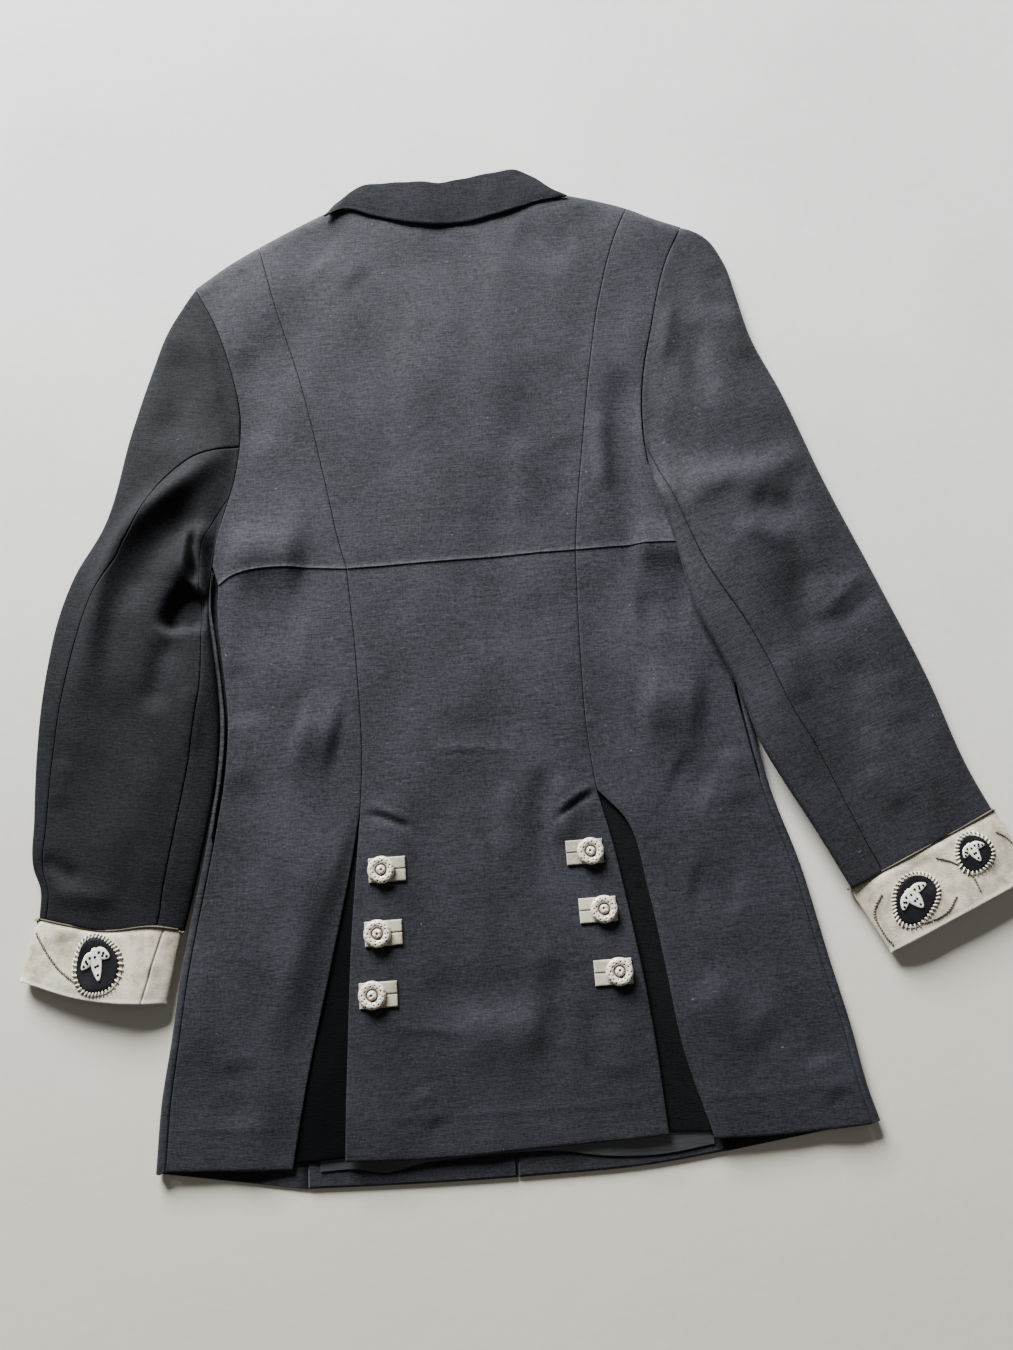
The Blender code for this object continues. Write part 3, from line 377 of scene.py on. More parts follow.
def roll(far, reach):
    """Share of a quarter round at a distance from an edge: 1 at the edge, 0 from its reach on."""
    inward = np.clip(1 - far / reach, 0, 1)
    return 1 - np.sqrt(1 - inward**2)


def rolled(grid, sides, drop=0.8, reach=1.6):
    """The outer surface rolled down (or up, where drop is below 0) at the named sides."""
    grid = grid.copy()
    for side in sides:
        lines = lines_from(grid, side)
        steps = np.linalg.norm(np.diff(lines[..., :2], axis=0), axis=-1)
        far = np.concatenate([np.zeros((1, steps.shape[1])), np.cumsum(steps, axis=0)])
        lines[..., 2] -= drop * roll(far, reach)
    return grid


def ease(t):
    """Smooth step from 0 to 1."""
    t = np.clip(t, 0.0, 1.0)
    return t * t * (3 - 2 * t)


def from_table(table, at):
    """A value read from a short two-column table."""
    return np.interp(at, [row[0] for row in table], [row[1] for row in table])


def nearest_on(line, x, y):
    """Distance in plan from points to a line, and the share of its length where it is nearest."""
    points = np.stack([x, y], axis=-1)[..., None, :]
    start, step = line[:-1], np.diff(line, axis=0)
    length = np.linalg.norm(step, axis=1)
    t = np.clip(((points - start) * step).sum(-1) / (step**2).sum(-1), 0, 1)
    far = np.linalg.norm(points - start - t[..., None] * step, axis=-1)
    nearest = far.argmin(axis=-1)
    part = np.take_along_axis(t, nearest[..., None], -1)[..., 0]
    along = np.r_[0.0, np.cumsum(length)][nearest] + part * length[nearest]
    return np.take_along_axis(far, nearest[..., None], -1)[..., 0], along / length.sum()


def shares(length, pitch, steps=EDGE_STEPS):
    """Shares from 0 to 1 at an even pitch, with closer ones beside both ends."""
    inner = np.linspace(steps[-1] + pitch, length - steps[-1] - pitch, max(2, round(length / pitch) - 1))
    near = np.r_[0.0, steps]
    return np.r_[near, inner, length - near[::-1]] / length


def relief(creases, x, y):
    """Height of soft ridges and troughs along their lines; each fades towards its two ends."""
    z = np.zeros_like(x)
    for points, wide, lift in creases:
        line = smooth_line(points, 5)
        low, high = line.min(axis=0) - 3 * wide, line.max(axis=0) + 3 * wide
        near = (x > low[0]) & (x < high[0]) & (y > low[1]) & (y < high[1])
        if near.any():
            far, share = nearest_on(line, x[near], y[near])
            z[near] += lift * np.exp(-(far / wide)**2) * ease(np.minimum(share, 1 - share) / 0.3)
    return z


def ripple(x, y, seed):
    """Unevenness of laid cloth: broad soft swells and finer ones."""
    total = np.zeros(x.size)
    for (lift, wide, long), offset in ((BROAD_RIPPLE, 0), (FINE_RIPPLE, 9)):
        total += [lift * noise.noise((a / wide, b / long, seed + offset))
                  for a, b in zip(x.ravel(), y.ravel())]
    return total.reshape(x.shape)


# Heights of the laid layers

SHOULDER_LINES = [smooth_line(LEFT_SHOULDER), smooth_line(RIGHT_SHOULDER)]


def from_shoulders(x, y):
    """Distance in plan to the nearer shoulder."""
    return np.minimum(nearest_on(SHOULDER_LINES[0], x, y)[0], nearest_on(SHOULDER_LINES[1], x, y)[0])


def vent_lift(x, y):
    """How far the tail and skirts stand on the pleats folded under the two vents."""
    rise = np.zeros_like(x)
    for tail, skirt in ((LEFT_TAIL_EDGE, LEFT_SKIRT_EDGE), (RIGHT_TAIL_EDGE, RIGHT_SKIRT_EDGE)):
        tail_x = np.interp(y, [p[1] for p in tail[::-1]], [p[0] for p in tail[::-1]])
        skirt_x = np.interp(y, [p[1] for p in skirt[::-1]], [p[0] for p in skirt[::-1]])
        far = np.abs(x - (tail_x + skirt_x) / 2) - np.abs(tail_x - skirt_x) / 2
        rise = np.maximum(rise, 1 - ease((far - VENT_NEAR) / VENT_FADE_WIDTH))
    return VENT_LIFT * rise * ease((VENT_TOP_Y - y) / VENT_FADE_LENGTH)


def back_height(x, y):
    """Upper surface of the back before its creases."""
    z = BACK_HEIGHT + CHEST_LIFT * ease((y - CHEST_FROM_Y) / CHEST_RISE_LENGTH) + vent_lift(x, y)
    for sx, sy, wide, long, lift in SWELLS:
        z = z + lift * np.exp(-((x - sx) / wide)**2 - ((y - sy) / long)**2)
    return z - (z - SHOULDER_EDGE) * roll(from_shoulders(x, y), SHOULDER_ROLL)


def back_surface(x, y):
    """Upper surface of the back with its creases, hem lines and unevenness; hollows flatten out low down."""
    keep = ease(from_shoulders(x, y) / SHOULDER_ROLL)
    flat = back_height(x, y)
    room = np.maximum(flat - LOWEST_BACK, 0.1)
    rise = keep * (RELIEF_SCALE * relief(BACK_CREASES, x, y) + relief(HEM_LINES, x, y) + ripple(x, y, 1.0))
    return flat + np.where(rise < 0, room * (np.exp(np.minimum(rise, 0) / room) - 1), rise)


# A skirt sinks towards its edge beside a vent: how far, over what width at the hem and at the vent's top
LEFT_VENT_FALL = (3.3, 44.0, 9.0)
RIGHT_VENT_FALL = (0.5, 9.0, 6.0)
VENT_FALL_STARTS_OVER = 12
VENT_FALL_LENGTH = 60
VENT_FALL_WIDENS_OVER = 200


def vent_fall(edge, fall, x, y):
    """How far a skirt has sunk at a point beside a vent."""
    depth, hem_width, top_width = fall
    far = nearest_on(smooth_line(edge), x, y)[0]
    vent_top = edge[0][1]
    down = ease((vent_top - y) / VENT_FALL_WIDENS_OVER)
    width = top_width + (hem_width - top_width) * down
    return depth * ease((vent_top + VENT_FALL_STARTS_OVER - y) / VENT_FALL_LENGTH) * ease(1 - far / width)


def left_skirt_surface(x, y):
    """The left skirt, which rolls down into the left vent."""
    return back_surface(x, y) - vent_fall(LEFT_SKIRT_EDGE, LEFT_VENT_FALL, x, y)


def right_skirt_surface(x, y):
    """The right skirt, whose edge beside the vent is nearly flat."""
    return back_surface(x, y) - vent_fall(RIGHT_SKIRT_EDGE, RIGHT_VENT_FALL, x, y)


def over_body(x, y):
    """1 where the right sleeve lies on the body, falling to 0 beside it."""
    edge = np.interp(y, [p[1] for p in RIGHT_EDGE], [p[0] for p in RIGHT_EDGE])
    beside = ease((edge + SLEEVE_RAMP_REACH - x) / SLEEVE_RAMP_WIDTH)
    return beside * ease((UNDERARM_Y - y) / UNDERARM_RAMP_LENGTH)


# Shader groups

def node(tree, kind, values=None, **settings):
    """A node with its settings, its input values by name or place, and its links."""
    made = tree.nodes.new(kind)
    for key, value in settings.items():
        setattr(made, key, value)
    for key, value in (values or {}).items():
        if isinstance(value, bpy.types.NodeSocket):
            tree.links.new(value, made.inputs[key])
        else:
            made.inputs[key].default_value = value
    return made


def group(name, inputs, outputs):
    """An empty shader group with named inputs (kind, value) and outputs (kind)."""
    tree = bpy.data.node_groups.new(name, "ShaderNodeTree")
    for label, (kind, value) in inputs.items():
        socket = tree.interface.new_socket(label, in_out="INPUT", socket_type=kind)
        socket.default_value = value
    for label, kind in outputs.items():
        tree.interface.new_socket(label, in_out="OUTPUT", socket_type=kind)
    return tree, tree.nodes.new("NodeGroupInput"), tree.nodes.new("NodeGroupOutput")


def maths(tree, operation, first, second):
    """The result of one sum or product."""
    return node(tree, "ShaderNodeMath", {0: first, 1: second}, operation=operation).outputs[0]


def weighed(tree, *parts):
    """Sum of masks, each given with its weight."""
    total = None
    for mask, weight in parts:
        part = mask if weight == 1 else maths(tree, "MULTIPLY", mask, weight)
        total = part if total is None else maths(tree, "ADD", total, part)
    return total


def mixed(tree, share, first, second):
    """A colour between two."""
    made = node(tree, "ShaderNodeMix", {0: share, 6: first, 7: second}, data_type="RGBA")
    return made.outputs[2]


def between(tree, value, low, high, to_low=0.0, to_high=1.0):
    """A value taken from one range to another, and held at its ends."""
    made = node(tree, "ShaderNodeMapRange", {0: value, 1: low, 2: high, 3: to_low, 4: to_high}, clamp=True)
    return made.outputs[0]


def streaks(tree, at, stretch, detail=2.0, roughness=0.55):
    """Noise stretched along the cloth's threads."""
    scaled = node(tree, "ShaderNodeVectorMath", {0: at, 1: stretch}, operation="MULTIPLY").outputs[0]
    made = node(tree, "ShaderNodeTexNoise",
                {"Vector": scaled, "Scale": 1.0, "Detail": detail, "Roughness": roughness})
    return made.outputs[0]


FLOAT, COLOUR = "NodeSocketFloat", "NodeSocketColor"


def make_weave_group():
    """Plain slubby weave: crossed uneven threads, pale flecks, faint blotches, and painted shade towards the
    hem.
    """
    tree, given, out = group("slubby_weave",
                             {"Turn": (FLOAT, 0.0), "Dark": (COLOUR, (0, 0, 0, 1)),
                              "Light": (COLOUR, (1, 1, 1, 1)), "Fleck": (COLOUR, (1, 1, 1, 1))},
                             {"Colour": COLOUR, "Height": FLOAT, "Roughness": FLOAT})
    place = node(tree, "ShaderNodeTexCoord").outputs["Object"]
    turn = node(tree, "ShaderNodeCombineXYZ", {2: given.outputs["Turn"]}).outputs[0]
    at = node(tree, "ShaderNodeMapping", {"Vector": place, "Rotation": turn}).outputs[0]
    weft = streaks(tree, at, (110, 720, 400), 3.0, 0.65)
    warp = streaks(tree, at, (820, 170, 400), 3.0, 0.65)
    slub = streaks(tree, at, (45, 560, 90), 2.0)
    grain = streaks(tree, at, (430, 540, 430), 3.0, 0.65)
    blotch = streaks(tree, at, (14, 17, 14), 3.0, 0.55)
    threads = weighed(tree, (weft, 0.55), (warp, 0.45))
    tone = weighed(tree, (threads, 1.2), (slub, 0.35), (grain, 0.9), (blotch, 0.45))
    tone = between(tree, tone, 1.21, 1.71)
    colour = mixed(tree, tone, given.outputs["Dark"], given.outputs["Light"])
    fleck = between(tree, streaks(tree, at, (150, 620, 200), 1.0), 0.71, 0.82)
    colour = mixed(tree, maths(tree, "MULTIPLY", fleck, 0.30), colour, given.outputs["Fleck"])
    speck = between(tree, streaks(tree, at, (330, 330, 330), 0.0), 0.87, 0.91)
    colour = mixed(tree, maths(tree, "MULTIPLY", speck, 0.8), colour, given.outputs["Fleck"])
    # Painted shade: the cloth is mixed towards its dark threads nearer the hem.
    toward_hem = node(tree, "ShaderNodeSeparateXYZ", {0: place}).outputs[1]
    colour = mixed(tree, between(tree, toward_hem, 0.02, -0.36, 0.0, 0.42), colour, given.outputs["Dark"])
    wave = {"Vector": at, "Scale": 300.0, "Distortion": 1.4, "Detail": 2.0}
    across, down = [node(tree, "ShaderNodeTexWave", wave, wave_type="BANDS", bands_direction=way).outputs[1]
                    for way in ("Y", "X")]
    crossed = maths(tree, "MULTIPLY", across, down)
    tree.links.new(colour, out.inputs["Colour"])
    tree.links.new(weighed(tree, (threads, 1), (crossed, 0.2), (grain, 0.5)), out.inputs["Height"])
    tree.links.new(between(tree, threads, 0.3, 0.7, 0.82, 0.70), out.inputs["Roughness"])
    return tree


def make_nap_group():
    """Brushed leather: broad stains, fine nap, a paler marked tone, and dark marked lines, partly painted
    shade.
    """
    tree, given, out = group("brushed_nap",
                             {"Dark": (COLOUR, (0, 0, 0, 1)), "Light": (COLOUR, (1, 1, 1, 1)),
                              "Edge": (COLOUR, (1, 1, 1, 1)), "Line": (COLOUR, (0, 0, 0, 1))},
                             {"Colour": COLOUR, "Height": FLOAT, "Roughness": FLOAT})
    at = node(tree, "ShaderNodeTexCoord").outputs["Object"]
    stain = streaks(tree, at, (85, 85, 85), 5.0, 0.65)
    broad = streaks(tree, at, (26, 30, 26), 2.0)
    nap = streaks(tree, at, (900, 1300, 900), 2.0)
    tone = between(tree, weighed(tree, (stain, 0.9), (broad, 0.6), (nap, 0.4)), 0.72, 1.08)
    colour = mixed(tree, tone, given.outputs["Dark"], given.outputs["Light"])
    pale = node(tree, "ShaderNodeAttribute", attribute_name="pale").outputs["Fac"]
    # The line mark carries a seam line, and painted shade at a cuff's join with its sleeve and in a tab's
    # slit.
    line = node(tree, "ShaderNodeAttribute", attribute_name="line").outputs["Fac"]
    colour = mixed(tree, pale, colour, given.outputs["Edge"])
    colour = mixed(tree, line, colour, given.outputs["Line"])
    tree.links.new(colour, out.inputs["Colour"])
    tree.links.new(weighed(tree, (nap, 1), (stain, 0.5)), out.inputs["Height"])
    tree.links.new(between(tree, nap, 0.3, 0.7, 0.95, 0.85), out.inputs["Roughness"])
    return tree


def shader_of(name):
    """A new material with its node tree and its shader."""
    made = bpy.data.materials.new(name)
    made.use_nodes = True
    return made, made.node_tree, made.node_tree.nodes["Principled BSDF"]


def bumped(tree, shader, height, distance, strength):
    """Fine relief on a shader from a height in its material."""
    bump = node(tree, "ShaderNodeBump", {"Height": height, "Distance": distance, "Strength": strength})
    tree.links.new(bump.outputs[0], shader.inputs["Normal"])


def make_linen(name, turn, dark, light, shine=0.20):
    """Slubby linen, its threads turned with the piece."""
    made, tree, shader = shader_of(name)
    weave = node(tree, "ShaderNodeGroup", node_tree=weave_group)
    weave.inputs["Turn"].default_value = turn
    weave.inputs["Dark"].default_value = dark
    weave.inputs["Light"].default_value = light
    weave.inputs["Fleck"].default_value = [FLECK_PALER * value for value in light[:3]] + [1]
    tree.links.new(weave.outputs["Colour"], shader.inputs["Base Color"])
    tree.links.new(weave.outputs["Roughness"], shader.inputs["Roughness"])
    bumped(tree, shader, weave.outputs["Height"], 0.0007, 0.55)
    shader.inputs["Sheen Weight"].default_value = 0.2 * shine
    shader.inputs["Sheen Roughness"].default_value = 0.45
    shader.inputs["Specular IOR Level"].default_value = shine
    return made


def make_suede(name, dark, light):
    """Suede with a paler turned edge, and dark marked lines: a seam, and painted shade at joins and slits."""
    made, tree, shader = shader_of(name)
    nap = node(tree, "ShaderNodeGroup", node_tree=nap_group)
    for key, value in (("Dark", dark), ("Light", light), ("Edge", SUEDE_EDGE), ("Line", SUEDE_LINE_AND_SHADE)):
        nap.inputs[key].default_value = value
    tree.links.new(nap.outputs["Colour"], shader.inputs["Base Color"])
    tree.links.new(nap.outputs["Roughness"], shader.inputs["Roughness"])
    bumped(tree, shader, nap.outputs["Height"], 0.0005, 0.5)
    shader.inputs["Sheen Weight"].default_value = 0.2
    shader.inputs["Specular IOR Level"].default_value = 0.2
    return made


def make_satin():
    """Dark satin of the lining, with fine threads across."""
    made, tree, shader = shader_of("grey_satin")
    at = node(tree, "ShaderNodeTexCoord").outputs["Object"]
    threads = streaks(tree, at, (60, 1400, 200), 2.0)
    colour = mixed(tree, between(tree, threads, 0.3, 0.7), SATIN_DARK, SATIN_LIGHT)
    tree.links.new(colour, shader.inputs["Base Color"])
    tree.links.new(between(tree, threads, 0.3, 0.7, 0.32, 0.45), shader.inputs["Roughness"])
    bumped(tree, shader, threads, 0.0002, 0.4)
    shader.inputs["Sheen Weight"].default_value = 0.3
    return made


def make_leather():
    """Black leather with a small grain."""
    made, tree, shader = shader_of("black_leather")
    at = node(tree, "ShaderNodeTexCoord").outputs["Object"]
    grain = node(tree, "ShaderNodeTexVoronoi", {"Vector": at, "Scale": 900.0}).outputs["Distance"]
    broad = streaks(tree, at, (120, 120, 120), 3.0)
    tree.links.new(mixed(tree, broad, LEATHER_DARK, LEATHER_LIGHT), shader.inputs["Base Color"])
    tree.links.new(between(tree, broad, 0.3, 0.7, 0.5, 0.7), shader.inputs["Roughness"])
    bumped(tree, shader, grain, 0.0003, 0.4)
    shader.inputs["Specular IOR Level"].default_value = 0.14
    return made


def make_silver():
    """Antique silver, brown in its hollows and rubbed pale on its high places."""
    made, tree, shader = shader_of("old_silver")
    at = node(tree, "ShaderNodeTexCoord").outputs["Object"]
    recess = node(tree, "ShaderNodeAttribute", attribute_name="recess").outputs["Fac"]
    stain = streaks(tree, at, (500, 500, 500), 4.0, 0.65)
    dirty = between(tree, weighed(tree, (recess, 1), (stain, 0.8)), 0.45, 1.15)
    tree.links.new(mixed(tree, dirty, SILVER_PALE, SILVER_BROWN), shader.inputs["Base Color"])
    tree.links.new(between(tree, dirty, 0.0, 1.0, 0.34, 0.7), shader.inputs["Roughness"])
    bumped(tree, shader, stain, 0.0005, 0.35)
    shader.inputs["Metallic"].default_value = 0.15
    return made


def make_thread(name, dark, light):
    """Twisted thread or thin lacing."""
    made, tree, shader = shader_of(name)
    at = node(tree, "ShaderNodeTexCoord").outputs["Object"]
    twist = streaks(tree, at, (1500, 1500, 1500), 2.0)
    tree.links.new(mixed(tree, twist, dark, light), shader.inputs["Base Color"])
    bumped(tree, shader, twist, 0.0003, 0.5)
    shader.inputs["Roughness"].default_value = 0.8
    return made


def make_floor_finish():
    """Pale concrete with soft cloudy tones, and painted shade: warmer and darker on the hem's side of the
    coat.
    """
    made, tree, shader = shader_of("pale_concrete")
    at = node(tree, "ShaderNodeTexCoord").outputs["Object"]
    cloud = streaks(tree, at, (3.0, 3.0, 3.0), 5.0, 0.55)
    fine = streaks(tree, at, (120, 120, 120), 4.0, 0.6)
    tone = between(tree, weighed(tree, (cloud, 0.75), (fine, 0.25)), 0.35, 0.65)
    colour = mixed(tree, tone, FLOOR_DARK, FLOOR_LIGHT)
    far = node(tree, "ShaderNodeSeparateXYZ", {0: at}).outputs[1]
    # Painted shade: the floor is mixed towards a warmer, darker tone on the hem's side.
    colour = mixed(tree, between(tree, far, 0.35, -0.65), colour, FLOOR_PAINTED_SHADE)
    tree.links.new(colour, shader.inputs["Base Color"])
    bumped(tree, shader, weighed(tree, (cloud, 1), (fine, 0.1)), 0.004, 0.3)
    shader.inputs["Roughness"].default_value = 0.75
    return made


# Colours, linear
LINEN_DARK = (0.0048, 0.0049, 0.0066, 1)
LINEN_LIGHT = (0.0345, 0.0347, 0.0440, 1)
# Painted shade: the body's linen made much darker for the left sleeve.
LEFT_SLEEVE_SHADED_DARK = (0.0018, 0.0019, 0.0026, 1)
LEFT_SLEEVE_SHADED_LIGHT = (0.0125, 0.0127, 0.0165, 1)
RIGHT_SLEEVE_DARK = (0.0042, 0.0043, 0.0057, 1)
RIGHT_SLEEVE_LIGHT = (0.030, 0.0302, 0.0375, 1)
COLLAR_DARK = (0.0028, 0.0029, 0.0041, 1)
COLLAR_LIGHT = (0.0195, 0.0198, 0.0255, 1)
# Painted shade: the body's linen made far darker for the pleats in the vents.
VENT_SHADED_DARK = (0.0008, 0.0009, 0.0012, 1)
VENT_SHADED_LIGHT = (0.0052, 0.0056, 0.0072, 1)
SUEDE_DARK = (0.235, 0.195, 0.135, 1)
SUEDE_LIGHT = (0.60, 0.545, 0.415, 1)
TAB_DARK = (0.22, 0.195, 0.14, 1)
TAB_LIGHT = (0.43, 0.405, 0.31, 1)
SUEDE_EDGE = (0.84, 0.80, 0.68, 1)
# Dark lines on the suede: a seam line, and painted shade where a cuff meets its sleeve and in a tab's slit.
SUEDE_LINE_AND_SHADE = (0.10, 0.085, 0.06, 1)
SATIN_DARK = (0.008, 0.009, 0.011, 1)
SATIN_LIGHT = (0.020, 0.022, 0.026, 1)
LEATHER_DARK = (0.003, 0.003, 0.004, 1)
LEATHER_LIGHT = (0.009, 0.009, 0.011, 1)
CREAM_DARK = (0.58, 0.54, 0.45, 1)
CREAM_LIGHT = (0.78, 0.75, 0.66, 1)
BROWN_DARK = (0.075, 0.06, 0.042, 1)
BROWN_LIGHT = (0.19, 0.165, 0.125, 1)
SILVER_PALE = (0.72, 0.65, 0.54, 1)
SILVER_BROWN = (0.095, 0.052, 0.034, 1)
FLOOR_DARK = (0.60, 0.60, 0.565, 1)
FLOOR_LIGHT = (0.71, 0.71, 0.67, 1)
# Painted shade: the floor turns warmer and darker to this on the hem's side.
FLOOR_PAINTED_SHADE = (0.51, 0.465, 0.375, 1)

# How many times paler than the light threads a fleck of the linen is
FLECK_PALER = 3.4

weave_group = make_weave_group()
nap_group = make_nap_group()
linen = make_linen("linen_of_the_body", 0.0, LINEN_DARK, LINEN_LIGHT)
# The vents' linen is painted shade: far darker copies of the body's linen.
linen_shaded_in_vents = {"left": make_linen("linen_painted_shade_in_the_left_vent", 0.0, VENT_SHADED_DARK, VENT_SHADED_DARK, 0.05),
                  "right": make_linen("linen_painted_shade_in_the_right_vent", 0.0, VENT_SHADED_DARK, VENT_SHADED_LIGHT, 0.09)}
# The left sleeve's linen is painted shade: a darker copy of the body's.
linen_left_sleeve_shaded = make_linen("linen_of_the_left_sleeve_painted_shade", 0.16, LEFT_SLEEVE_SHADED_DARK, LEFT_SLEEVE_SHADED_LIGHT, 0.12)
linen_right_sleeve = make_linen("linen_of_the_right_sleeve", -0.30, RIGHT_SLEEVE_DARK, RIGHT_SLEEVE_LIGHT)
linen_collar = make_linen("linen_of_the_collar", 0.0, COLLAR_DARK, COLLAR_LIGHT, 0.08)
suede = make_suede("greige_suede", SUEDE_DARK, SUEDE_LIGHT)
tab_suede = make_suede("greige_suede_of_the_tabs", TAB_DARK, TAB_LIGHT)
satin = make_satin()
leather = make_leather()
silver = make_silver()
cream_leather = make_thread("cream_leather", CREAM_DARK, CREAM_LIGHT)
brown_thread = make_thread("brown_thread", BROWN_DARK, BROWN_LIGHT)


# Pieces

def add_piece(name, points, faces, finish):
    """A smooth piece of the coat, from plan points in millimetres."""
    mesh = bpy.data.meshes.new(name)
    mesh.from_pydata(((points - PLAN_CENTRE) * MM).tolist(), [], [list(map(int, face)) for face in faces])
    mesh.materials.append(finish)
    mesh.polygons.foreach_set("use_smooth", [True] * len(mesh.polygons))
    made = bpy.data.objects.new(name, mesh)
    bpy.context.scene.collection.objects.link(made)
    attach(made, "root")
    return made


def mark(piece, name, values):
    """A mask over the piece's points, for its material."""
    layer = piece.data.attributes.new(name, "FLOAT", "POINT")
    layer.data.foreach_set("value", np.ravel(values).astype(np.float32))


def grid_faces(rows, columns, outer_up=True, closed=False):
    """Four-sided faces between the points of a grid; a closed one joins its last column to its first."""
    index = np.arange(rows * columns).reshape(rows, columns)
    if closed:
        index = np.concatenate([index, index[:, :1]], axis=1)
    faces = np.stack([index[:-1, :-1], index[:-1, 1:], index[1:, 1:], index[1:, :-1]], axis=-1).reshape(-1, 4)
    return faces if outer_up else faces[:, ::-1]


def thicken(piece, wall):
    """A wall of even thickness behind a piece's outer surface."""
    shell = piece.modifiers.new("Wall", "SOLIDIFY")
    shell.thickness = wall * MM
    shell.offset = -1


def cloth(name, grid, wall, finish, outer_up=True, closed=False):
    """A thin wall of cloth behind a grid of outer points, which stands for the node of its name."""
    faces = grid_faces(*grid.shape[:2], outer_up, closed)
    made = add_piece(name + "_cloth", grid.reshape(-1, 3), faces, finish)
    thicken(made, wall)
    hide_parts(name)
    return made


def raised(plan, height):
    """Plan points with their heights."""
    return np.concatenate([plan, np.broadcast_to(height, plan.shape[:2])[..., None]], axis=-1)


# The back

def back_piece(name, low, high, left, right, wide, long, seams, hems=(), lip=(), surface=back_surface):
    """A piece of the back between four lines, turned down at its seams and hem, and lipped over the waist."""
    plan = inset(patch(low, high, left, right, shares(wide, FINE_PITCH), shares(long, FINE_PITCH)), seams)
    grid = raised(plan, surface(plan[..., 0], plan[..., 1]))
    grid = rolled(grid, lip, -WAIST_LIP, WAIST_LIP_REACH)
    grid = rolled(rolled(grid, seams, 0.5, 1.1), hems, 1.1, 1.8)
    cloth(name, grid, LINEN_WALL, linen)


def make_upper_back():
    """Three pieces over the waist seam."""
    seams, lip = ("low", "left", "right"), ("low",)
    left_princess = smooth_line(LEFT_PRINCESS)[::-1]
    right_princess = smooth_line(RIGHT_PRINCESS)[::-1]
    left_shoulder, right_shoulder = SHOULDER_LINES
    top = joined(beyond(left_shoulder[::-1], LEFT_PRINCESS[0]), smooth_line(NECKLINE),
                 beyond(right_shoulder[::-1], RIGHT_PRINCESS[0])[::-1])
    back_piece("back_upper_centre", smooth_line(CENTRE_WAIST), top, left_princess, right_princess, 260, 350,
               seams, lip=lip)

    left_side = joined(np.array([LEFT_WAIST[0], LEFT_ARMHOLE[-1]], float), smooth_line(LEFT_ARMHOLE)[::-1])
    left_top = beyond(left_shoulder, LEFT_PRINCESS[0])[::-1]
    back_piece("back_upper_side_left", smooth_line(LEFT_WAIST), left_top, left_side, left_princess, 90, 330,
               seams, lip=lip)

    right_side = joined(np.array([RIGHT_WAIST[-1], RIGHT_UNDERARM[-1]], float),
                        smooth_line(RIGHT_UNDERARM)[::-1], smooth_line(RIGHT_ARMHOLE)[::-1])
    right_top = beyond(right_shoulder, RIGHT_PRINCESS[0])
    back_piece("back_upper_side_right", smooth_line(RIGHT_WAIST), right_top, right_princess, right_side, 90,
               370, seams, lip=lip)


def make_tail_and_skirts():
    """The tail between the two vents and a skirt on each side, under the waist seam."""
    seams = ("high", "left", "right")
    left_tail = joined(smooth_line(LEFT_TAIL_SEAM), smooth_line(LEFT_TAIL_EDGE))[::-1]
    right_tail = joined(smooth_line(RIGHT_TAIL_SEAM), smooth_line(RIGHT_TAIL_EDGE))[::-1]
    back_piece("back_tail", smooth_line(TAIL_HEM), smooth_line(CENTRE_WAIST), left_tail, right_tail, 215, 460,
               seams, ("low",))
    left_skirt = joined(smooth_line(LEFT_TAIL_SEAM), smooth_line(LEFT_SKIRT_EDGE))[::-1]
    back_piece("back_skirt_left", smooth_line(LEFT_SKIRT_HEM), smooth_line(LEFT_WAIST),
               smooth_line(LEFT_SIDE_SEAM), left_skirt, 105, 460, seams, ("low",), surface=left_skirt_surface)
    right_skirt = joined(smooth_line(RIGHT_TAIL_SEAM), smooth_line(RIGHT_SKIRT_EDGE))[::-1]
    back_piece("back_skirt_right", smooth_line(RIGHT_SKIRT_HEM), smooth_line(RIGHT_WAIST), right_skirt,
               smooth_line(RIGHT_SIDE_SEAM), 125, 460, seams, ("low",), surface=right_skirt_surface)


def make_underlays():
    """The pleat folded under each vent, from under the tail to under the skirt."""
    tuck, rise = UNDERLAY_TUCK
    for name, tail, skirt, way, surface in (
            ("left", LEFT_TAIL_EDGE, LEFT_SKIRT_EDGE, 1, left_skirt_surface),
            ("right", RIGHT_TAIL_EDGE, RIGHT_SKIRT_EDGE, -1, right_skirt_surface)):
        tucked = smooth_line(tail)[::-1] + (tuck * way, rise)
        reaching = smooth_line(skirt)[::-1] + (-tuck * way, rise)
        left, right = (reaching, tucked) if way > 0 else (tucked, reaching)
        low, high = np.array([left[0], right[0]]), np.array([left[-1], right[-1]])
        plan = patch(low, high, left, right, shares(60, CLOTH_PITCH), shares(255, CLOTH_PITCH))
        under_back = surface(plan[..., 0], plan[..., 1]) - LINEN_WALL - 2 * LAYER_GAP
        grid = rolled(raised(plan, np.minimum(UNDERLAY_TOP, under_back)), ("low",), 0.8)
        # Each pleat is cloth in a linen darkened as painted shade.
        cloth("vent_underlay_" + name, grid, UNDERLAY_WALL, linen_shaded_in_vents[name])


# The fronts

def front_surface(x, y):
    """Underside of the coat: flat, with a few shallow hollows pressed up into it."""
    return relief(FRONT_CREASES, x, y)


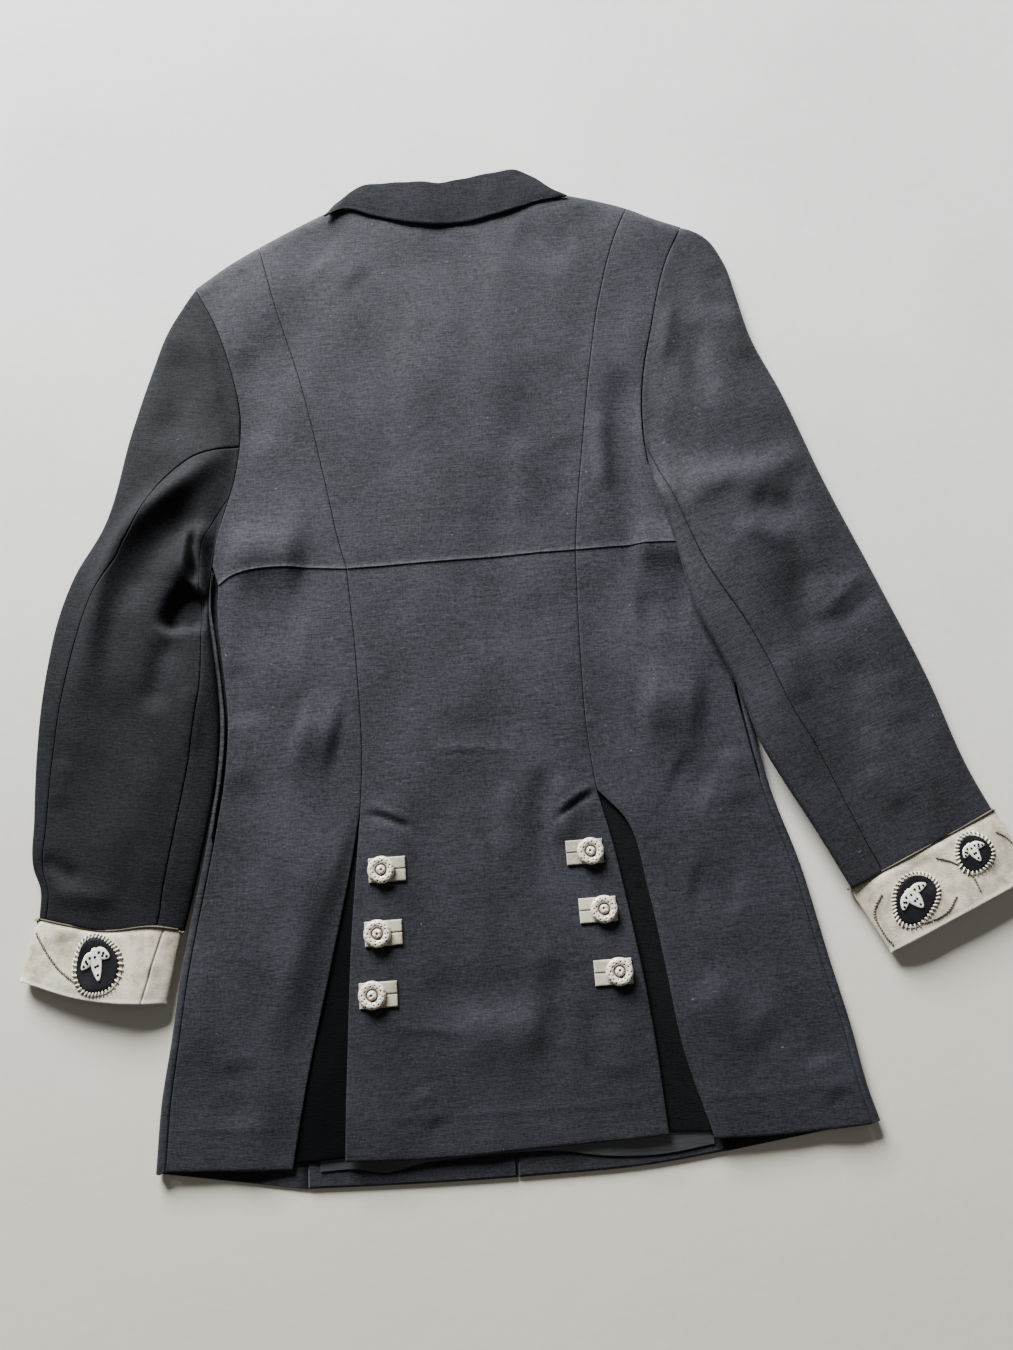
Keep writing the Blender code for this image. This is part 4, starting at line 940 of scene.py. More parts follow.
def make_fronts():
    """Two fronts flat on the surface, from the shoulder and neck to the hem."""
    hem = smooth_line(FRONT_HEM)
    split = int(np.argmin(np.abs(hem[:, 0] - FRONT_EDGE_X)))
    middle = np.array([(FRONT_EDGE_X, hem[split][1]), (FRONT_EDGE_X, NECK_TOP_Y)], float)
    hem[split, 0] = FRONT_EDGE_X
    left_neck = np.array([NECKLINE[0], (-74, NECK_TOP_Y - 1), (FRONT_EDGE_X, NECK_TOP_Y)], float)
    top_left = joined(SHOULDER_LINES[0][::-1], left_neck)
    left = joined(smooth_line(LEFT_FRONT_SEAM), beyond(smooth_line(LEFT_ARMHOLE)[::-1], LEFT_FRONT_SEAM[-1]))
    right_neck = np.array([(FRONT_EDGE_X, NECK_TOP_Y), (84, NECK_TOP_Y), NECKLINE[-1]], float)
    top_right = joined(right_neck, SHOULDER_LINES[1])
    underarm = beyond(smooth_line(RIGHT_UNDERARM)[::-1], RIGHT_FRONT_SEAM[-1])
    right = joined(smooth_line(RIGHT_FRONT_SEAM), underarm, smooth_line(RIGHT_ARMHOLE)[::-1])
    for name, low, high, one, other in (("front_left", hem[:split + 1], top_left, left, middle),
                                        ("front_right", hem[split:], top_right, middle, right)):
        plan = patch(low, high, one, other, shares(170, HIDDEN_PITCH), shares(850, HIDDEN_PITCH))
        plan = inset(plan, ("left", "right"), HIDDEN_GAP)
        grid = raised(plan, front_surface(plan[..., 0], plan[..., 1]))
        cloth(name, rolled(grid, ("low", "left", "right"), -0.6), FRONT_WALL, linen, outer_up=False)


def side_section(inner, edge, seam, top):
    """One row of a front side: flat from the front seam, round the edge and back to the side seam."""
    way = (edge - inner) / np.linalg.norm(edge - inner)
    radius = top / 2
    turn = edge - way * radius
    row = []
    for share in np.linspace(0, 0.95, 12):
        x, y = inner + (turn - inner) * share
        row.append((x, y, 0.0))
    for angle in np.radians(np.linspace(-90, 90, 13)):
        row.append((*(turn + way * radius * math.cos(angle)), radius + radius * math.sin(angle)))
    inside = seam + 0.3 * (seam - turn) / max(np.linalg.norm(seam - turn), 1e-9)
    row.append((*((turn + inside) / 2 if (inside - turn) @ way < -1 else turn - way * 0.8), top))
    row.append((*(inside if (inside - turn) @ way < -1.6 else turn - way * 1.6), top))
    return row


def make_front_sides():
    """The side of each front, which goes round the edge to the side seam on the back."""
    for name, seam, edge, side in (("left", LEFT_FRONT_SEAM, LEFT_EDGE, LEFT_SIDE_SEAM),
                                   ("right", RIGHT_FRONT_SEAM, RIGHT_EDGE, RIGHT_SIDE_SEAM)):
        along = shares(510, CLOTH_PITCH)
        inner = read_at(smooth_line(seam), along)
        outer = read_at(smooth_line(edge), along)
        ends = read_at(smooth_line(side), along)
        tops = back_surface(ends[:, 0], ends[:, 1]) - 0.25
        rows = [side_section(*row) for row in zip(inner, outer, ends, tops)]
        grid = inset(inset(np.array(rows), ("left",), HIDDEN_GAP), ("right", "high"), SEAM_GAP)
        cloth("front_side_" + name, rolled(grid, ("right",), 0.6), LINEN_WALL, linen,
              outer_up=name == "left")


def make_lining():
    """The strip of lining that shows over the front hem, between the fronts and the tail."""
    edge = read_at(smooth_line(LINING_EDGE), shares(290, CLOTH_PITCH))
    plan = edge[None] + shares(LINING_DEPTH, 2.0)[:, None, None] * (0, LINING_DEPTH)
    x, y = plan[..., 0], plan[..., 1]
    fold = 0.35 * np.sin(x / 9.0 + 1.3 * np.sin(x / 31.0))
    top = FRONT_WALL + LAYER_GAP + LINING_WALL + 0.35 + fold * ease((y - 2) / 8)
    cloth("lining_hem", raised(plan, top), LINING_WALL, satin)


# The collar: its fold over the back, and how far the fall's left tip turns up
COLLAR_OVER_BACK = 1.9
LEFT_TIP_LIFT = 2.6


def make_collar():
    """Stand and fall in one: from the fall's edge out to the fold and back under it to the neck seam."""
    across = shares(230, FINE_PITCH)
    neck = read_at(smooth_line(NECKLINE), 0.02 + 0.96 * across) + (0, COLLAR_SEAM_ABOVE_NECK)
    fold = read_at(smooth_line(COLLAR_FOLD), across)
    fold[:, 1] += np.sin(math.pi * across) * (0.9 * np.sin(across * 24) + 0.6 * np.sin(across * 51 + 1))
    edge = read_at(smooth_line(COLLAR_EDGE), across)
    settle = ease((across - 0.06) / 0.08) * ease((0.94 - across) / 0.08)
    tip = fold + COLLAR_TIP_TURN * (edge - fold)
    neck = tip + settle[:, None] * (neck - tip)
    top_of_back = back_surface(edge[:, 0], edge[:, 1])
    rows = []
    for n, f, e, back, whole, share in zip(neck, fold, edge, top_of_back, settle, across):
        top = back + COLLAR_OVER_BACK
        tip = LEFT_TIP_LIFT * float(ease((0.13 - share) / 0.13))
        wave = 0.35 * math.sin(share * 19) + 0.25 * math.sin(share * 41 + 1)
        under_neck = float(back_height(*np.array([n]).T)[0]) - BACK_WALL
        low = (back + LAYER_GAP) + whole * (under_neck - back - LAYER_GAP)
        radius = (top - low) / 2
        way = (f - e) / np.linalg.norm(f - e)
        turn = f - way * radius
        row = []
        for part in np.linspace(0, 0.93, 12):
            sag = (1 - part)**2
            height = top + tip * sag + (wave - 0.5) * sag + 0.5 * math.sin(math.pi * part)
            row.append((*(e + (turn - e) * part), height))
        for angle in np.radians(np.linspace(90, -90, 15)):
            row.append((*(turn + way * radius * math.cos(angle)), top - radius + radius * math.sin(angle)))
        for part in (0.35, 0.7, 1.0):
            row.append((*(turn + (n - turn) * part), low))
        rows.append(row)
    grid = rolled(rolled(np.array(rows), ("left",), -0.9, 3.2), ("left",), 0.5, 1.2)
    cloth("collar", grid, COLLAR_WALL, linen_collar, outer_up=False)


# Sleeves and cuffs

class Sleeve:
    """A flattened tube between an outer and an inner edge, from its armhole to its cuff seam."""

    def __init__(self, start, end, outer, inner, heights, creases, lifted=None, blend=0.0, fade=1):
        self.lines = [smooth_line(line) for line in (start, end, outer, inner)]
        self.heights = heights
        self.creases = creases
        self.lifted = lifted
        self.blend = blend
        self.fade = fade

    def plan(self, u, v):
        """Plan point at a share across (u) and along (v): straight across, and bowed at the two ends."""
        start, end, outer, inner = self.lines
        a, b = read_at(start, u), read_at(end, u)
        c, d = read_at(outer, v), read_at(inner, v)
        u, v = u[..., None], v[..., None]
        start_bow = a - (1 - u) * start[0] - u * start[-1]
        end_bow = b - (1 - u) * end[0] - u * end[-1]
        return (1 - u) * c + u * d + (1 - v)**self.fade * start_bow + v**self.fade * end_bow

    def seam(self, table, side):
        """A seam's share across at a share along, moved by half a seam's gap to one side."""
        def share(v):
            ends = self.plan(np.array([0.0, 1.0]), np.array([v, v]))
            return from_table(table, v) + side * SLEEVE_SEAM_GAP / 2 / np.linalg.norm(ends[1] - ends[0])
        return share

    def floor(self, x, y):
        """Height of what the tube lies on."""
        return np.zeros_like(x) if self.lifted is None else self.lifted(x, y)

    def upper(self, u, v):
        """Points of the upper surface, with its creases."""
        p = self.plan(u, v)
        x, y = p[..., 0], p[..., 1]
        height = from_table(self.heights, v)
        low = SLEEVE_EDGE_SHARE * height
        side = np.abs(2 * u - 1)
        dome = low + (height - low) * np.sqrt(np.maximum(0, 1 - side**SLEEVE_ROUNDNESS))
        floor = self.floor(x, y)
        z = floor + dome
        if self.blend:
            keep = 1 - ease(v / self.blend)
            level = np.maximum(back_height(x, y), floor + low)
            z = z * (1 - keep) + keep * np.where((u > 0) & (u < 1), level, floor + low)
        inside = np.sqrt(np.maximum(0, 1 - side**6)) * ease(v / 0.04)
        rise = inside * (RELIEF_SCALE * relief(self.creases, x, y) + ripple(x, y, 3.0))
        z = np.maximum(z + rise, floor + LOWEST_SLEEVE)
        return np.concatenate([p, z[..., None]], axis=-1)

    def under(self, u, v):
        """Points of the surface that it lies on, with shallow hollows in it."""
        p = self.plan(u, v)
        x, y = p[..., 0], p[..., 1]
        width = np.linalg.norm(self.plan(np.ones_like(u), v) - self.plan(np.zeros_like(u), v), axis=-1)
        low = SLEEVE_EDGE_SHARE * from_table(self.heights, v)
        share = 2 * low / width
        round_in = np.clip((np.abs(2 * u - 1) - (1 - share)) / share, 0, 1)
        z = self.floor(x, y) + low * (1 - np.sqrt(1 - round_in**2)) + relief(FRONT_CREASES, x, y)
        return np.concatenate([p, z[..., None]], axis=-1)


def right_floor(x, y):
    """Top of the body under the right sleeve, a little over it, and 0 beside the body."""
    return (back_height(x, y) + SLEEVE_OVER_BODY) * over_body(x, y)


LEFT_SLEEVE = Sleeve(LEFT_ARMHOLE[:-1] + [LEFT_SLEEVE_INNER[0]], LEFT_CUFF_SEAM, LEFT_SLEEVE_OUTER,
                     LEFT_SLEEVE_INNER, SLEEVE_HEIGHTS, LEFT_SLEEVE_CREASES, blend=0.12, fade=9)
RIGHT_SLEEVE = Sleeve(RIGHT_ARMHOLE, RIGHT_CUFF_SEAM, RIGHT_SLEEVE_OUTER, RIGHT_SLEEVE_INNER,
                      SLEEVE_HEIGHTS, RIGHT_SLEEVE_CREASES, lifted=right_floor, blend=0.10, fade=4)
CUFF_HEIGHTS = [(0.0, SLEEVE_HEIGHTS[-1][1]), (0.1, CUFF_HEIGHT), (1.0, CUFF_HEIGHT)]
LEFT_CUFF_CREASES = [([(-330, 196), (-318, 168), (-300, 150)], 9, -1.0), ([(-270, 188), (-262, 150)], 8, 0.8)]
RIGHT_CUFF_CREASES = [([(330, 200), (342, 170)], 10, -1.0), ([(380, 215), (392, 180)], 9, 0.8)]
LEFT_CUFF = Sleeve(LEFT_CUFF_SEAM, LEFT_CUFF_EDGE, LEFT_CUFF_OUTER, LEFT_CUFF_INNER, CUFF_HEIGHTS,
                   LEFT_CUFF_CREASES)
RIGHT_CUFF = Sleeve(RIGHT_CUFF_SEAM, RIGHT_CUFF_EDGE, RIGHT_CUFF_OUTER, RIGHT_CUFF_INNER, CUFF_HEIGHTS,
                    RIGHT_CUFF_CREASES)


def sleeve_grid(tube, along, sections):
    """A grid over a tube. Each section is (surface, shares), where shares gives a row's shares across."""
    parts = []
    for surface, row_shares in sections:
        u = np.array([row_shares(v) for v in along])
        if parts:
            u = u[:, 1:]
        parts.append(getattr(tube, surface)(u, np.broadcast_to(along[:, None], u.shape)))
    return np.concatenate(parts, axis=1)


def sleeve_ends(grid):
    """A sleeve piece drawn in and rolled down at its armhole and at its cuff."""
    return rolled(inset(inset(grid, ("low",), 0.3), ("high",)), ("low", "high"), 0.6, 1.5)


def toward_edge(count):
    """Shares from 1 down to 0, closer together near 0 where a sleeve turns over its edge, and near 1."""
    turn = np.linspace(0, 1, count)
    shares_down = 1 - turn**0.55
    return np.unique(np.r_[shares_down, 1.0 - np.array([0.0, 0.006, 0.015, 0.03]), 0.0])[::-1]


def over_under(count):
    """Shares from 0 to 1 over the underside, closer where it turns up at both edges."""
    turn = np.linspace(0, 1, count)
    return (1 - np.cos(math.pi * turn)) / 2


def make_left_sleeve():
    """The under sleeve on top, between its two seams, and the upper sleeve round the rest of the tube."""
    tube, along = LEFT_SLEEVE, shares(590, CLOTH_PITCH)
    elbow, forearm = tube.seam(LEFT_ELBOW_SEAM, 1), tube.seam(LEFT_FOREARM_SEAM, -1)
    between_seams = shares(90, CLOTH_PITCH)
    grid = sleeve_grid(tube, along, [("upper", lambda v: elbow(v) + (forearm(v) - elbow(v)) * between_seams)])
    grid = rolled(grid, ("left", "right"), 0.7, 1.4)
    cloth("sleeve_left_under", sleeve_ends(grid), LINEN_WALL, linen_left_sleeve_shaded, outer_up=False)
    to_elbow, to_forearm = tube.seam(LEFT_ELBOW_SEAM, -1), tube.seam(LEFT_FOREARM_SEAM, 1)
    grid = sleeve_grid(tube, along, [
        ("upper", lambda v: to_elbow(v) * toward_edge(26)),
        ("under", lambda v: over_under(34)),
        ("upper", lambda v: 1 - (1 - to_forearm(v)) * toward_edge(14)[::-1])])
    grid = rolled(grid, ("left", "right"), 0.7, 1.4)
    cloth("sleeve_left_upper", sleeve_ends(grid), LINEN_WALL, linen_left_sleeve_shaded)


def make_right_sleeve():
    """The upper sleeve on top and partly under, and the under sleeve round its inner edge."""
    tube, along = RIGHT_SLEEVE, shares(640, CLOTH_PITCH)
    elbow, forearm = tube.seam(RIGHT_ELBOW_SEAM, 1), tube.seam(RIGHT_FOREARM_SEAM, 1)
    grid = sleeve_grid(tube, along, [
        ("upper", lambda v: 1 - (1 - elbow(v)) * toward_edge(14)),
        ("under", lambda v: 1 - (1 - forearm(v)) * (1 - toward_edge(16)))])
    grid = rolled(rolled(grid, ("left",), 0.7, 1.4), ("right",), -0.5, 1.4)
    cloth("sleeve_right_under", sleeve_ends(grid), LINEN_WALL, linen_right_sleeve)
    to_elbow, to_forearm = tube.seam(RIGHT_ELBOW_SEAM, -1), tube.seam(RIGHT_FOREARM_SEAM, -1)
    grid = sleeve_grid(tube, along, [
        ("under", lambda v: to_forearm(v) * toward_edge(26)),
        ("upper", lambda v: to_elbow(v) * toward_edge(48)[::-1])])
    grid = rolled(rolled(grid, ("right",), 0.7, 1.4), ("left",), -0.5, 1.4)
    cloth("sleeve_right_upper", sleeve_ends(grid), LINEN_WALL, linen_right_sleeve)


# The upright seam of the left cuff: share along, share across
CUFF_SEAMS = {"left": [(0.0, 0.885), (0.5, 0.865), (1.0, 0.845)], "right": []}
CUFF_SEAM_WIDTH = 0.006
CUFF_SEAM_DEPTH = 0.9
CUFF_LENGTH = 50

# How far a cuff turns in at its hem and at the sleeve, and over what length
HEM_TURN = (0.6, 2.0)
SLEEVE_TURN = (1.7, 4.0)


def make_cuff(name, tube):
    """A closed band round the end of a sleeve, with a paler turned edge."""
    top = np.unique(np.r_[over_under(60), [share + step for _, share in CUFF_SEAMS[name]
                                           for step in (-0.016, -0.008, 0.0, 0.008, 0.016)]])
    bottom = over_under(40)[::-1][1:-1]
    along = np.r_[0.008, shares(CUFF_LENGTH, 2.0)[1:-1], 1.0]
    v = np.broadcast_to(along[:, None], (len(along), len(top)))
    upper = tube.upper(np.broadcast_to(top, v.shape), v)
    seam = np.zeros(v.shape)
    if CUFF_SEAMS[name]:
        seam = np.exp(-((top - from_table(CUFF_SEAMS[name], v)) / CUFF_SEAM_WIDTH)**2)
        upper[..., 2] -= CUFF_SEAM_DEPTH * seam
    v = np.broadcast_to(along[:, None], (len(along), len(bottom)))
    under = tube.under(np.broadcast_to(bottom, v.shape), v)
    grid = np.concatenate([upper, under], axis=1)
    middle = grid.mean(axis=1, keepdims=True)[..., 2]
    from_hem, from_sleeve = (1 - along) * CUFF_LENGTH, along * CUFF_LENGTH
    turned = HEM_TURN[0] * roll(from_hem, HEM_TURN[1]) + SLEEVE_TURN[0] * roll(from_sleeve, SLEEVE_TURN[1])
    inward = middle - grid[..., 2]
    grid[..., 2] += turned[:, None] * np.sign(inward) * np.minimum(1, np.abs(inward))
    grid[..., 2] = np.maximum(grid[..., 2], 0)
    made = cloth("cuff_" + name, grid, CUFF_WALL, suede, outer_up=name == "right", closed=True)
    mark(made, "pale", np.clip(1.4 - from_hem / 2.2, 0, 1)[:, None] * np.ones(grid.shape[1]))
    # The line mark: a dark seam line on the left cuff, and painted shade in a band where the cuff meets its
    # sleeve.
    line = np.concatenate([0.55 * seam, np.zeros((len(along), len(bottom)))], axis=1)
    mark(made, "line", np.maximum(line, 0.95 * np.clip(1.4 - from_sleeve, 0, 1)[:, None]))


class OnCuff:
    """Places on a cuff's upper surface, in millimetres across and along from one of its points."""

    def __init__(self, tube, across, along, turn=0.0):
        start, _, outer, _ = tube.lines
        self.tube = tube
        self.across = across
        self.along = along
        self.wide = np.linalg.norm(start[0] - start[-1])
        self.long = np.linalg.norm(outer[0] - outer[-1])
        self.spin = np.array([[math.cos(turn), math.sin(turn)], [-math.sin(turn), math.cos(turn)]])

    def points(self, flat, lift):
        """Points over the cuff for flat points in millimetres."""
        flat = np.asarray(flat, float) @ self.spin
        made = self.tube.upper(self.across + flat[..., 0] / self.wide, self.along + flat[..., 1] / self.long)
        made[..., 2] += lift
        return made


def patch_outline(half_wide, half_long, angle):
    """Edge of a patch: an egg with two shallow waves."""
    reach = 1 + 0.07 * np.sin(2 * angle + 0.6) + 0.05 * np.sin(3 * angle + 0.2)
    return np.stack([half_wide * reach * np.cos(angle), half_long * reach * np.sin(angle)], axis=-1)


def disc_grid(half_wide, half_long, count):
    """Flat points of a patch, as a grid between four stretches of its edge."""
    quarter = np.radians(np.linspace(0, 90, 17))
    low, right, high, left = [patch_outline(half_wide, half_long, np.radians(start) + quarter)
                              for start in (-135, -45, 45, 135)]
    even = np.linspace(0, 1, count)
    return patch(low, high[::-1], left[::-1], right, even, even)


# Thickness of a stitch: share of its length, share of its radius
STITCH_SECTIONS = [(0.0, 0.35), (0.12, 0.8), (0.5, 1.0), (0.88, 0.8), (1.0, 0.35)]


def make_stitches(name, ends, radius, finish):
    """Short raised stitches, each from one point to another."""
    around = np.linspace(0, 2 * math.pi, 6, endpoint=False)
    points, faces = [], []
    for start, end in ends:
        along = end - start
        side = np.cross(along, (0, 0, 1))
        side /= np.linalg.norm(side)
        up = np.cross(side, along)
        up /= np.linalg.norm(up)
        first = len(points)
        for share, wide in STITCH_SECTIONS:
            for angle in around:
                outward = math.cos(angle) * side + math.sin(angle) * up
                points.append(start + share * along + radius * wide * outward)
        last = first + 6 * (len(STITCH_SECTIONS) - 1)
        for ring in range(first, last, 6):
            faces += [(ring + i, ring + (i + 1) % 6, ring + 6 + (i + 1) % 6, ring + 6 + i) for i in range(6)]
        faces += [tuple(first + i for i in range(6))[::-1], tuple(last + i for i in range(6))]
    add_piece(name, np.array(points), faces, finish)


# A leaf sprig on each patch: length, width, x and y of its foot, in shares of the patch's size, and turn
LEAVES = [(1.35, 0.60, -0.05, -0.72, 1.45), (0.90, 0.50, -0.08, -0.50, 2.55), (0.86, 0.46, 0.02, -0.60, 0.55)]
LEAF_DOTS = [(0.28, 0.0), (0.55, 0.22), (0.55, -0.25), (0.8, 0.0)]
LEAF_WALL = 0.4
LEAF_LIFT = 0.45
LEAF_DOME = 0.3
DOT_SHARE = 0.085
DOT_RINGS = [(1.0, 0.42), (0.85, 1.05)]

# Round a patch's edge: how far in and out the whip stitches reach, their pitch and radius; the cord beside it
WHIP_INSIDE = 0.4
WHIP_OUTSIDE = 3.3
WHIP_PITCH = 2.9
WHIP_SLANT = 0.06
WHIP_RADIUS = 0.72
CORD_OUTSIDE = 2.2
CORD_RADIUS = 0.5


def leaf_points(leaf, size, along, across):
    """Flat points of a leaf at shares of its length, and of its half width from -1 to 1."""
    length, width, x, y, turn = leaf
    half = 0.5 * width * np.sin(math.pi * np.clip(along, 0, 1)**0.8)**0.75
    flat = np.stack([length * along, half * across], axis=-1)
    spin = np.array([[math.cos(turn), math.sin(turn)], [-math.sin(turn), math.cos(turn)]])
    return size * (flat @ spin + (x, y))


def make_patches(tube, patches, upright):
    """Leather patches with a pale leaf sprig, dots on the leaves, whip stitches and a cord round the edge."""
    top = LAYER_GAP + PATCH_WALL
    for name, across, along, half_wide, half_long, turn in patches:
        place = OnCuff(tube, across, along, turn)
        grid = place.points(disc_grid(half_wide, half_long, 21), top)
        cloth("patch_" + name, rolled(grid, ("low", "high", "left", "right"), 0.5, 1.2), PATCH_WALL, leather,
              outer_up=upright)
        size = 0.92 * min(half_wide, half_long)
        stretch = np.array([half_wide, half_long]) / min(half_wide, half_long)
        dots = []
        for number, leaf in enumerate(LEAVES):
            s, t = np.meshgrid(np.linspace(0.02, 0.98, 15), np.linspace(-1, 1, 9), indexing="ij")
            flat = leaf_points(leaf, size, s, t) * stretch
            grid = place.points(flat, top + LEAF_LIFT)
            grid[..., 2] -= LEAF_DOME * t**4
            made = add_piece(f"leaf_{name}_{number + 1}", grid.reshape(-1, 3), grid_faces(*t.shape),
                             cream_leather)
            thicken(made, LEAF_WALL)
            if not upright:
                made.data.flip_normals()
            for share, side in LEAF_DOTS:
                dots.append(leaf_points(leaf, size, np.array(share), np.array(side)) * stretch)
        make_dots("dots_" + name, place, np.array(dots), DOT_SHARE * size)
        steps = int(round(math.pi * (half_wide + half_long) / WHIP_PITCH))
        angle = np.linspace(0, 2 * math.pi, steps, endpoint=False)
        inner = patch_outline(half_wide - WHIP_INSIDE, half_long - WHIP_INSIDE, angle)
        outer = patch_outline(half_wide + WHIP_OUTSIDE, half_long + WHIP_OUTSIDE, angle + WHIP_SLANT)
        starts = place.points(inner, top + 0.1)
        ends = place.points(outer, 0.4)
        make_stitches("whip_stitches_" + name, zip(starts, ends), WHIP_RADIUS, cream_leather)
        ring = np.linspace(0, 2 * math.pi, 2 * steps + 1)
        cord = place.points(patch_outline(half_wide + CORD_OUTSIDE, half_long + CORD_OUTSIDE, ring), 0.1)
        make_stitches("edge_cord_" + name, zip(cord[:-1], cord[1:]), CORD_RADIUS, brown_thread)


def make_dots(name, place, centres, radius):
    """Small black dots, each a low dome."""
    points, faces = [], []
    for centre in centres:
        first = len(points)
        for share, lift in DOT_RINGS:
            angle = np.linspace(0, 2 * math.pi, 8, endpoint=False)
            ring = centre + radius * share * np.stack([np.cos(angle), np.sin(angle)], axis=-1)
            points += list(place.points(ring, LAYER_GAP + PATCH_WALL + lift))
        for i in range(8):
            j = (i + 1) % 8
            faces.append((first + i, first + j, first + 8 + j, first + 8 + i))
        faces += [tuple(first + 8 + i for i in range(8)), tuple(first + 7 - i for i in range(8))]
    add_piece(name, np.array(points), faces, leather)


# Lines of brown stitches on the cuffs: plan points
LEFT_CUFF_LINES = [
    [(-352, 193), (-344, 180), (-333, 165), (-319, 153)],
]
RIGHT_CUFF_LINES = [
    [(346, 196), (360, 191), (372, 180), (376, 168)],
    [(318, 148), (334, 149), (348, 155), (357, 166)],
    [(300, 172), (293, 160), (296, 145), (304, 133)],
    [(398, 213), (407, 207), (414, 198)],
]
CURL_PITCH = 2.1
CURL_SLANT = 0.45
CURL_LIFT = 0.3
CURL_RADIUS = 0.8


def place_on(tube, points):
    """The share across and along a tube of plan points, found on a fine grid of its own points."""
    u, v = np.meshgrid(np.linspace(0.02, 0.98, 193), np.linspace(0.02, 0.98, 97))
    plan = tube.plan(u, v).reshape(-1, 2)
    nearest = [int(np.argmin(((plan - point)**2).sum(axis=1))) for point in points]
    return u.ravel()[nearest], v.ravel()[nearest]


def make_cuff_lines(name, tube, lines):
    """Curls of twisted brown stitches sewn into the suede."""
    for number, line in enumerate(lines):
        smooth = smooth_line(line, 12)
        length = np.linalg.norm(np.diff(smooth, axis=0), axis=1).sum()
        count = int(length / CURL_PITCH)
        plan = read_at(smooth, np.linspace(0, 1, count + 1))
        slant = np.roll(np.gradient(plan, axis=0), 1, axis=1) * (-1, 1) / CURL_PITCH
        starts = tube.upper(*place_on(tube, plan[:-1] + CURL_SLANT * slant[:-1]))
        ends = tube.upper(*place_on(tube, plan[1:] - CURL_SLANT * slant[1:]))
        starts[:, 2] += CURL_LIFT
        ends[:, 2] += CURL_LIFT
        make_stitches(f"stitched_curl_{name}_{number + 1}", zip(starts, ends), CURL_RADIUS, brown_thread)


# Buttons and tabs

def make_tab(name, x, y, way):
    """A suede tab under a button, longer towards the middle of the tail, and slit along its middle."""
    start = x - way * TAB_BEHIND
    end = start + way * TAB_LENGTH
    xs = min(start, end) + TAB_LENGTH * shares(TAB_LENGTH, 1.2)
    offsets = np.unique(np.r_[TAB_WIDTH * (shares(TAB_WIDTH, 1.2) - 0.5), 0.0, 0.3, -0.3, 0.7, -0.7])
    plan = np.stack(np.meshgrid(xs, y + offsets), axis=-1)
    top = back_surface(plan[..., 0], plan[..., 1]) + LAYER_GAP + TAB_WALL
    slit = np.exp(-((plan[..., 1] - y) / 0.5)**2)
    grid = rolled(raised(plan, top - 0.7 * slit), ("low", "high", "left", "right"), 0.7, 1.0)
    made = cloth("tab_" + name, grid, TAB_WALL, tab_suede)
    # Painted shade in the tab's slit.
    mark(made, "line", 0.8 * slit)
    mark(made, "pale", np.zeros(slit.shape))


# A button's section: share of its radius, share of its height
BUTTON_PROFILE = [(0.0, 1.0), (0.16, 1.0), (0.27, 0.92), (0.33, 0.62), (0.38, 0.40), (0.44, 0.44),
                  (0.50, 0.66), (0.62, 0.80), (0.76, 0.84), (0.88, 0.76), (0.95, 0.56), (0.99, 0.36),
                  (1.0, 0.2)]

# Pits hammered into a button's rim: share of its radius, angle in degrees, size
PITS = [(0.58, 8, 0.05), (0.72, 22, 0.06), (0.88, 10, 0.05), (0.60, 44, 0.055), (0.80, 48, 0.06),
        (0.92, 66, 0.045), (0.66, 76, 0.06), (0.80, 92, 0.055), (0.56, 104, 0.05), (0.90, 114, 0.05),
        (0.70, 124, 0.06), (0.84, 146, 0.06), (0.59, 152, 0.05), (0.70, 174, 0.055), (0.91, 176, 0.045),
        (0.60, 200, 0.06), (0.80, 204, 0.055), (0.92, 226, 0.05), (0.68, 232, 0.06), (0.83, 252, 0.055),
        (0.57, 258, 0.05), (0.70, 282, 0.06), (0.90, 284, 0.05), (0.58, 308, 0.055), (0.80, 312, 0.06),
        (0.69, 338, 0.055), (0.89, 342, 0.05)]


def button_height(share, angle):
    """Relief of a button: a dented boss in a deep ring, and a rim hammered with pits."""
    height = from_table(BUTTON_PROFILE, share)
    x, y = share * np.cos(angle), share * np.sin(angle)
    height = height + 0.05 * np.cos(4 * angle + 0.4) * np.exp(-((share - 0.24) / 0.07)**2)
    height = height - 0.22 * np.exp(-((x - 0.05)**2 + (y + 0.03)**2) / 0.008)
    for far, degrees, size in PITS:
        pit_x, pit_y = far * math.cos(math.radians(degrees)), far * math.sin(math.radians(degrees))
        apart = (x - pit_x)**2 + (y - pit_y)**2
        height = height - 0.17 * np.exp(-(apart / size**2)**1.5)
    return height


